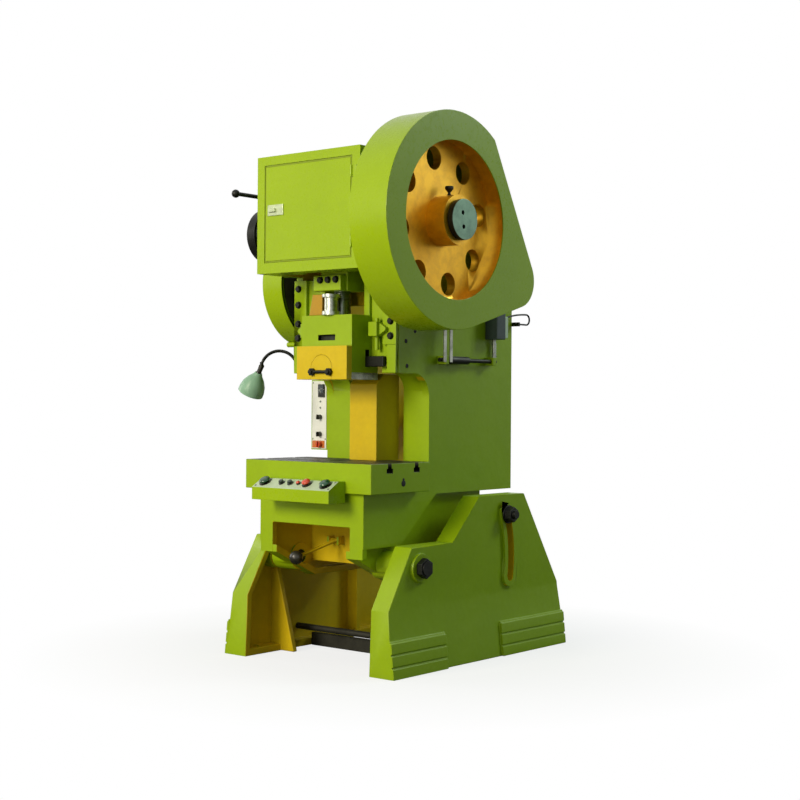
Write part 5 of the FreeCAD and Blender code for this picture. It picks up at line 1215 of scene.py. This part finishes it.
# ---------------------------------------------------------------------------------------------
# Sub-assemblies
# ---------------------------------------------------------------------------------------------
@dataclass
class Dresser:
    """What every sub-assembly needs to dress itself."""

    palette: Palette
    heads: ScrewHeads
    sleeves: RibbedSleeve

    def add(self, piece: bpy.types.Object, body: str, slot: str, *finishes: str,
            stands_for: tuple[str, ...] = ()) -> None:
        """Finish a piece and report it.

        Args:
            piece: The piece.
            body: The body it rides on.
            slot: Not used.
            finishes: Names of its finishes.
            stands_for: CAD nodes that it replaces.
        """
        finish_piece(piece, body, [self.palette[name] for name in finishes])
        if stands_for:
            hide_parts(*stands_for)
        LOG.info("%s rides on %s", piece.name, body)

    def shape(self, name: str, build: Callable[[bmesh.types.BMesh], None], body: str, slot: str,
              *finishes: str, smooth: float = 0.0, stands_for: tuple[str, ...] = ()) -> None:
        """Make a piece from a bmesh recipe and finish it.

        Args:
            name: Name of the piece.
            build: Fills the bmesh.
            body: The body it rides on.
            slot: Not used.
            finishes: Names of its finishes.
            smooth: Angle under which edges shade smooth, where it has round faces.
            stands_for: CAD nodes that it replaces.
        """
        piece = mesh_from(name, build)
        if smooth:
            shade_by_angle(piece, smooth)
        self.add(piece, body, slot, *finishes, stands_for=stands_for)

    def screws(self, name: str, body: str, slot: str, finish: str, screws: Sequence[Screw],
               kind: HeadKind = HeadKind.HEXAGON, washer: float = 1.3,
               stands_for: tuple[str, ...] = ()) -> None:
        """Set a group of screw heads, as ScrewHeads does, and finish it."""
        piece = self.heads.build(name, screws, self.palette[finish], kind, washer)
        self.add(piece, body, slot, finish, stands_for=stands_for)


@dataclass
class FrameFastenings:
    """Bolts of the gibs, bolster, covers and bearings."""

    gib_face: float = -0.394
    gib_bolt_x: float = 0.263
    gib_bolt_heights: tuple[float, ...] = (1.375, 1.437, 1.520, 1.590)
    table_top: float = 0.832
    table_bolt_x: float = 0.3
    table_bolt_y: tuple[float, ...] = (-0.576, -0.270)
    bolt_half: float = 0.0139
    bolt_high: float = 0.012
    cover_side: float = 0.290
    cover_screw_y: float = -0.520
    cover_screw_heights: tuple[float, ...] = (1.70, 1.89, 2.08)
    bearing_face: float = 0.338
    bearing_ring: float = 0.091

    def dress(self, dresser: Dresser) -> None:
        """Set every fastening of the frame."""
        bolts = [Screw((side * self.gib_bolt_x, self.gib_face, height), (0, -1, 0), self.bolt_half,
                       self.bolt_high) for side in (-1, 1) for height in self.gib_bolt_heights]
        bolts += [Screw((side * self.table_bolt_x, y, self.table_top), (0, 0, 1), self.bolt_half,
                        self.bolt_high) for side in (-1, 1) for y in self.table_bolt_y]
        dresser.screws("frame_bolt_heads", "frame", "dark_steel", "blackened_steel", bolts,
                       washer=1.15, stands_for=("frame_bolts",))
        cover = [Screw((side * self.cover_side, self.cover_screw_y, height), (side, 0, 0), 0.006,
                       0.004) for side in (-1, 1) for height in self.cover_screw_heights]
        dresser.screws("crank_cover_screws", "frame", "bright_steel", "milled_steel", cover,
                       HeadKind.PAN, 1.25)
        ring = [Screw((side * self.bearing_face, CRANK[1] + self.bearing_ring * math.cos(turn),
                       CRANK[2] + self.bearing_ring * math.sin(turn)), (side, 0, 0), 0.007, 0.006)
                for side in (-1, 1) for turn in (math.radians(45 + 90 * at) for at in range(4))]
        dresser.screws("bearing_cap_screws", "frame", "dark_steel", "blackened_steel", ring,
                       washer=1.1)


@dataclass
class SideMarks:
    """Plugged lifting and oil holes in the right side plate, and two dark discs on the bolster's
    side that are painted shade for its pear-shaped hole.
    """

    plate_x: float = 0.292
    plate_marks: tuple[tuple[float, float], ...] = ((-0.329, 1.355), (-0.321, 1.251),
                                                    (-0.269, 1.399))
    bolster_x: float = 0.355
    bolster_mark: tuple[float, float] = (-0.415, 0.766)

    def dress(self, dresser: Dresser) -> None:
        """Set the plugs and the bolster's dark discs."""
        def side_discs(work: bmesh.types.BMesh) -> None:
            """Turn each plug and each disc."""
            for y, z in self.plate_marks:
                lathe(work, ((0, 0.0), (0.009, 0.0), (0.009, 0.0012), (0.0065, 0.002),
                             (0.006, 0.0006), (0, 0.0006)),
                      toward((1, 0, 0), (self.plate_x, y, z)), 16)
            # Two dark discs on the bolster's side: painted shade for its pear-shaped hole
            y, z = self.bolster_mark
            lathe(work, ((0, 0.0), (0.013, 0.0), (0.013, 0.001), (0.010, 0.0016), (0, 0.0016)),
                  toward((1, 0, 0), (self.bolster_x, y, z)), 18)
            lathe(work, ((0, 0.0), (0.006, 0.0), (0.006, 0.001), (0.005, 0.0014), (0, 0.0014)),
                  toward((1, 0, 0), (self.bolster_x, y, z + 0.016)), 14)

        dresser.shape("side_plugs_and_hole_shade", side_discs, "frame", "dark_steel", "blackened_steel", smooth=30)


@dataclass
class CrankDoor:
    """The crank cover's door: a pressed panel whose sunk border is painted darker olive, as shade
    and dirt in the step.
    """

    half: float = 0.246
    foot: float = 1.687
    top: float = 2.098
    front: float = -0.625
    sheet: float = 0.004
    border: float = 0.0085
    sunk: float = 0.0022

    def dress(self, dresser: Dresser) -> None:
        """Build the door's panel."""
        def panel(work: bmesh.types.BMesh) -> None:
            """Sink the border into a flat box."""
            box_into(work, (-self.half, self.front + self.sunk, self.foot),
                     (self.half, self.front + self.sheet, self.top))
            front_face = min(work.faces, key=lambda face: face.calc_center_median().y)
            for width, depth in ((self.border, 0.0), (self.sunk, self.sunk)):
                step = bmesh.ops.inset_region(work, faces=[front_face], thickness=width,
                                              depth=depth)
                # The border's faces take the darker olive: painted shade and dirt in the sunk step
                for face in step["faces"]:
                    face.material_index = 1

        dresser.shape("crank_door_panel", panel, "door", "green_paint", "green_enamel_on_sheet",
                      "olive_border_shade_and_dirt", stands_for=("cover_door",))


@dataclass
class RodFittings:
    """Bolts of the rod's clamp head."""

    cap_front: float = -0.493
    bolt_height: float = 1.613
    bolt_places: tuple[float, ...] = (-0.044, 0.0, 0.044)

    def dress(self, dresser: Dresser) -> None:
        """Set the bolts."""
        bolts = [Screw((x, self.cap_front, self.bolt_height), (0, -1, 0), 0.0139, 0.012)
                 for x in self.bolt_places]
        dresser.screws("rod_cap_bolts", "rod", "dark_steel", "blackened_steel", bolts, washer=1.1,
                       stands_for=("rod_bolts",))


@dataclass
class GearOilCup:
    """The black funnel-shaped oil cup on top of the gear's hub."""

    place: Point = (0.571, -0.401, 1.9315)
    wide: float = 0.0175
    high: float = 0.038

    def dress(self, dresser: Dresser) -> None:
        """Build the cup."""
        def cup(work: bmesh.types.BMesh) -> None:
            """Turn the cup."""
            wide, high = self.wide, self.high
            lathe(work, ((0, -0.001), (0.010, -0.001), (0.010, 0.004), (0.006, 0.006),
                         (0.006, high * 0.35), (wide, high * 0.72), (wide, high * 0.94),
                         (wide * 0.9, high), (wide * 0.8, high), (wide * 0.6, high * 0.8),
                         (0, high * 0.8)), Matrix.Translation(self.place), 24)

        dresser.shape("gear_oil_cup", cup, "gear", "dark_steel", "blackened_steel", smooth=30)


class ButtonShape(Enum):
    """Shape of a push button's cap, as shares of its radius and height."""

    MUSHROOM = ((0.8, 0.0), (0.98, 0.18), (1.0, 0.36), (0.95, 0.6), (0.75, 0.84), (0.4, 0.97),
                (0.0, 1.0))
    DOME = ((1.0, 0.0), (1.0, 0.55), (0.88, 0.85), (0.4, 1.0), (0.0, 1.0))


@dataclass
class DeskButtons:
    """Push buttons, pilot lens and face screws of the control desk."""

    face_middle: Point = (0.0, -0.6870, 0.7608)
    slope: Point = (0.0, -0.5145, 0.8575)
    up_the_face: Point = (0.0, 0.8575, 0.5145)
    foot: float = 0.0085
    stem: float = 0.006
    stem_depth: float = -0.010
    lens_x: float = 0.021
    screw_x: float = 0.205
    screw_along: tuple[float, ...] = (-0.026, 0.024)
    buttons: tuple[tuple[str, str, float, float, float, str, str, ButtonShape], ...] = (
        # node, body, place, radius, height, slot, finish, shape
        ("left_palm_button", "palm_left", -0.170, 0.024, 0.012, "green_plastic", "green_acrylic",
         ButtonShape.MUSHROOM),
        ("right_palm_button", "palm_right", 0.170, 0.024, 0.012, "green_plastic", "green_acrylic",
         ButtonShape.MUSHROOM),
        ("left_jog_button", "jog_left", -0.075, 0.011, 0.006, "black_plastic", "green_black_cap",
         ButtonShape.DOME),
        ("right_jog_button", "jog_right", -0.025, 0.011, 0.006, "black_plastic", "green_black_cap",
         ButtonShape.DOME),
        ("emergency_stop", "stop_button", 0.068, 0.019, 0.014, "red_plastic", "red_acrylic",
         ButtonShape.MUSHROOM),
    )

    def _spot(self, across: float, over: float) -> Point:
        """A point of the sloping face, at a height over it."""
        middle, slope = Vector(self.face_middle), Vector(self.slope)
        return tuple(Vector((across, middle.y, middle.z)) + slope * over)

    def dress(self, dresser: Dresser) -> None:
        """Build the buttons, the pilot lamp and the face screws."""
        for node, body, across, radius, high, slot, finish, shape in self.buttons:
            def cap(work: bmesh.types.BMesh) -> None:
                """Turn the stem and the cap."""
                place = toward(self.slope, self._spot(across, 0.0))
                low = self.foot
                stem = ((0, self.stem_depth), (self.stem, self.stem_depth), (self.stem, low))
                lathe(work, stem + tuple((radius * out, low + high * up)
                                         for out, up in shape.value), place, 32)

            dresser.shape(f"{node}_cap", cap, body, slot, finish, smooth=40, stands_for=(node,))

        def lens(work: bmesh.types.BMesh) -> None:
            """Turn the lens."""
            lathe(work, ((0, 0.007), (0.0088, 0.007), (0.0088, 0.0095), (0.0066, 0.0125),
                         (0.003, 0.0142), (0, 0.0145)),
                  toward(self.slope, self._spot(self.lens_x, 0.0)), 24)

        dresser.shape("pilot_lens", lens, "frame", "red_plastic", "red_acrylic", smooth=40)
        corners = [Screw(tuple(Vector(self._spot(side * self.screw_x, 0.0))
                               + Vector(self.up_the_face) * along), self.slope, 0.0042, 0.0022)
                   for side in (-1, 1) for along in self.screw_along]
        dresser.screws("desk_face_screws", "frame", "bright_steel", "milled_steel", corners,
                       HeadKind.PAN, 1.2)


@dataclass
class CabinetFittings:
    """Meter, indicator dots, isolator plate and screws of the electrical cabinet."""

    left: float = -0.384
    right: float = -0.297
    panel_front: float = -0.173
    meter_low: Point = (-0.342, -0.181, 1.118)
    meter_high: Point = (-0.306, -0.181, 1.176)
    dial_marks: tuple[float, ...] = (-40, -20, 0, 20, 40)
    dial_radius: float = 0.024
    needle_turn: float = -25
    dot_x: float = -0.333
    dot_heights: tuple[float, ...] = (1.098, 1.070)
    dot_radius: float = 0.0045
    plate_low: tuple[float, float] = (-0.381, 0.889)
    plate_high: tuple[float, float] = (-0.306, 0.921)
    screw_inset: float = 0.006
    screw_heights: tuple[float, ...] = (0.929, 1.183)

    def dress(self, dresser: Dresser) -> None:
        """Build the cabinet's fittings."""
        (x0, y, z0), (x1, _, z1) = self.meter_low, self.meter_high

        def glass(work: bmesh.types.BMesh) -> None:
            """Fill the meter's window."""
            box_into(work, (x0 + 0.004, y - 0.0012, z0 + 0.018),
                     (x1 - 0.004, y + 0.0005, z1 - 0.004))

        dresser.shape("meter_glass", glass, "frame", "glass", "teal_meter_glass")

        def needle(work: bmesh.types.BMesh) -> None:
            """Set the dial's marks and its needle."""
            middle = (x0 + x1) / 2
            for turn in self.dial_marks:
                way = Vector((math.sin(math.radians(turn)), 0, math.cos(math.radians(turn))))
                spot = Vector((middle, y - 0.0014, z0 + 0.014)) + way * self.dial_radius
                slanted_bar(work, spot, turn, (0.0009, 0.0006, 0.005))
            slanted_bar(work, Vector((middle - 0.005, y - 0.0016, z0 + 0.029)), self.needle_turn,
                        (0.0008, 0.0006, 0.022))

        dresser.shape("meter_scale", needle, "frame", "white_panel", "white_enamel_panel")

        def dots(work: bmesh.types.BMesh) -> None:
            """Turn each dot."""
            radius = self.dot_radius
            for z in self.dot_heights:
                lathe(work, ((0, 0), (radius, 0), (radius, 0.002), (radius * 0.6, 0.0035),
                             (0, 0.004)), toward((0, -1, 0), (self.dot_x, self.panel_front, z)), 16)

        dresser.shape("indicator_dots", dots, "frame", "black_plastic", "grey_moulding", smooth=40)

        def plate(work: bmesh.types.BMesh) -> None:
            """Make the plate behind the isolator."""
            (left, low), (right, high) = self.plate_low, self.plate_high
            box_into(work, (left, self.panel_front - 0.0012, low),
                     (right, self.panel_front + 0.0004, high))

        dresser.shape("isolator_plate", plate, "frame", "red_plastic", "orange_moulding")
        inset = self.screw_inset
        screws = [Screw((x, self.panel_front, z), (0, -1, 0), 0.0035, 0.002)
                  for x in (self.left + inset, self.right - inset) for z in self.screw_heights]
        dresser.screws("panel_screws", "frame", "bright_steel", "milled_steel", screws,
                       HeadKind.PAN, 1.2)


@dataclass
class LampFittings:
    """The work lamp's ribbed gooseneck."""

    root: Point = (-0.302, -0.360, 1.256)
    end: Point = (-0.411, -0.467, 1.2696)
    bulge: Point = (-0.014, -0.010, 0.056)
    radius: float = 0.0070
    pitch: float = 0.0052

    def dress(self, dresser: Dresser) -> None:
        """Sweep the gooseneck's ribs."""
        # The ribs end a little short of the neck's fittings
        path = arc_points(self.root, self.end, self.bulge, 40)[2:-2]
        piece = dresser.sleeves.build("gooseneck_ribs", path, self.radius, self.pitch,
                                      dresser.palette["blackened_steel"])
        dresser.add(piece, "frame", "bright_steel", "blackened_steel")


@dataclass
class MotorFittings:
    """Black discs painted as shade for the fan cowl's holes, and the terminal box screws and foot
    bolts of the motor.
    """

    axis_y: float = 0.590
    axis_z: float = 1.250
    end: float = -0.118
    box_top: float = 1.400
    foot_top: float = 1.172
    # Radius of each ring of holes in the cowl, with their number
    rings: tuple[tuple[float, int], ...] = ((0.032, 8), (0.056, 14), (0.080, 20))
    hole: float = 0.0052
    hole_high: float = 0.0010
    lid_x: tuple[float, ...] = (-0.332, -0.252)
    lid_y: tuple[float, ...] = (0.550, 0.630)
    foot_x: tuple[float, ...] = (-0.398, -0.196)
    foot_y: tuple[float, ...] = (0.505, 0.675)

    def dress(self, dresser: Dresser) -> None:
        """Build the motor's fittings."""
        def cowl(work: bmesh.types.BMesh) -> None:
            """Set rings of black discs, painted shade where the cowl's holes are."""
            for row, count in self.rings:
                for at in range(count):
                    turn = 2 * math.pi * at / count
                    spot = (self.end - 0.0004, self.axis_y + row * math.cos(turn),
                            self.axis_z + row * math.sin(turn))
                    lathe(work, ((0, 0), (self.hole, 0), (self.hole, self.hole_high),
                                 (0, self.hole_high)), toward((1, 0, 0), spot), 10)

        dresser.shape("fan_cowl_hole_shade", cowl, "frame", "black_plastic", "black_phenolic")
        lids = [Screw((x, y, self.box_top), (0, 0, 1), 0.005, 0.003)
                for x in self.lid_x for y in self.lid_y]
        dresser.screws("terminal_box_screws", "frame", "bright_steel", "milled_steel", lids,
                       HeadKind.PAN, 1.2)
        feet = [Screw((x, y, self.foot_top), (0, 0, 1), 0.010, 0.009)
                for x in self.foot_x for y in self.foot_y]
        dresser.screws("motor_foot_bolts", "frame", "dark_steel", "blackened_steel", feet)


def main() -> None:
    """Load the press, dress it piece by piece and light it."""
    logging.basicConfig(level=logging.INFO, format="%(name)s: %(message)s")
    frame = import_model()
    palette = Palette()
    Viewpoint().build()
    Studio().build()
    for carried in CARRIED:
        piece = carried.build(frame["nodes"][carried.node], palette)
        LOG.info("%s rides on %s", piece.name, carried.body)
    dresser = Dresser(palette, ScrewHeads(), RibbedSleeve())
    for assembly in (FrameFastenings(), SideMarks(), CrankDoor(), RodFittings(),
                     GearOilCup(), DeskButtons(), CabinetFittings(), LampFittings(),
                     MotorFittings()):
        assembly.dress(dresser)
    bpy.context.scene.view_settings.view_transform = "Standard"


if __name__ == "__main__":
    main()
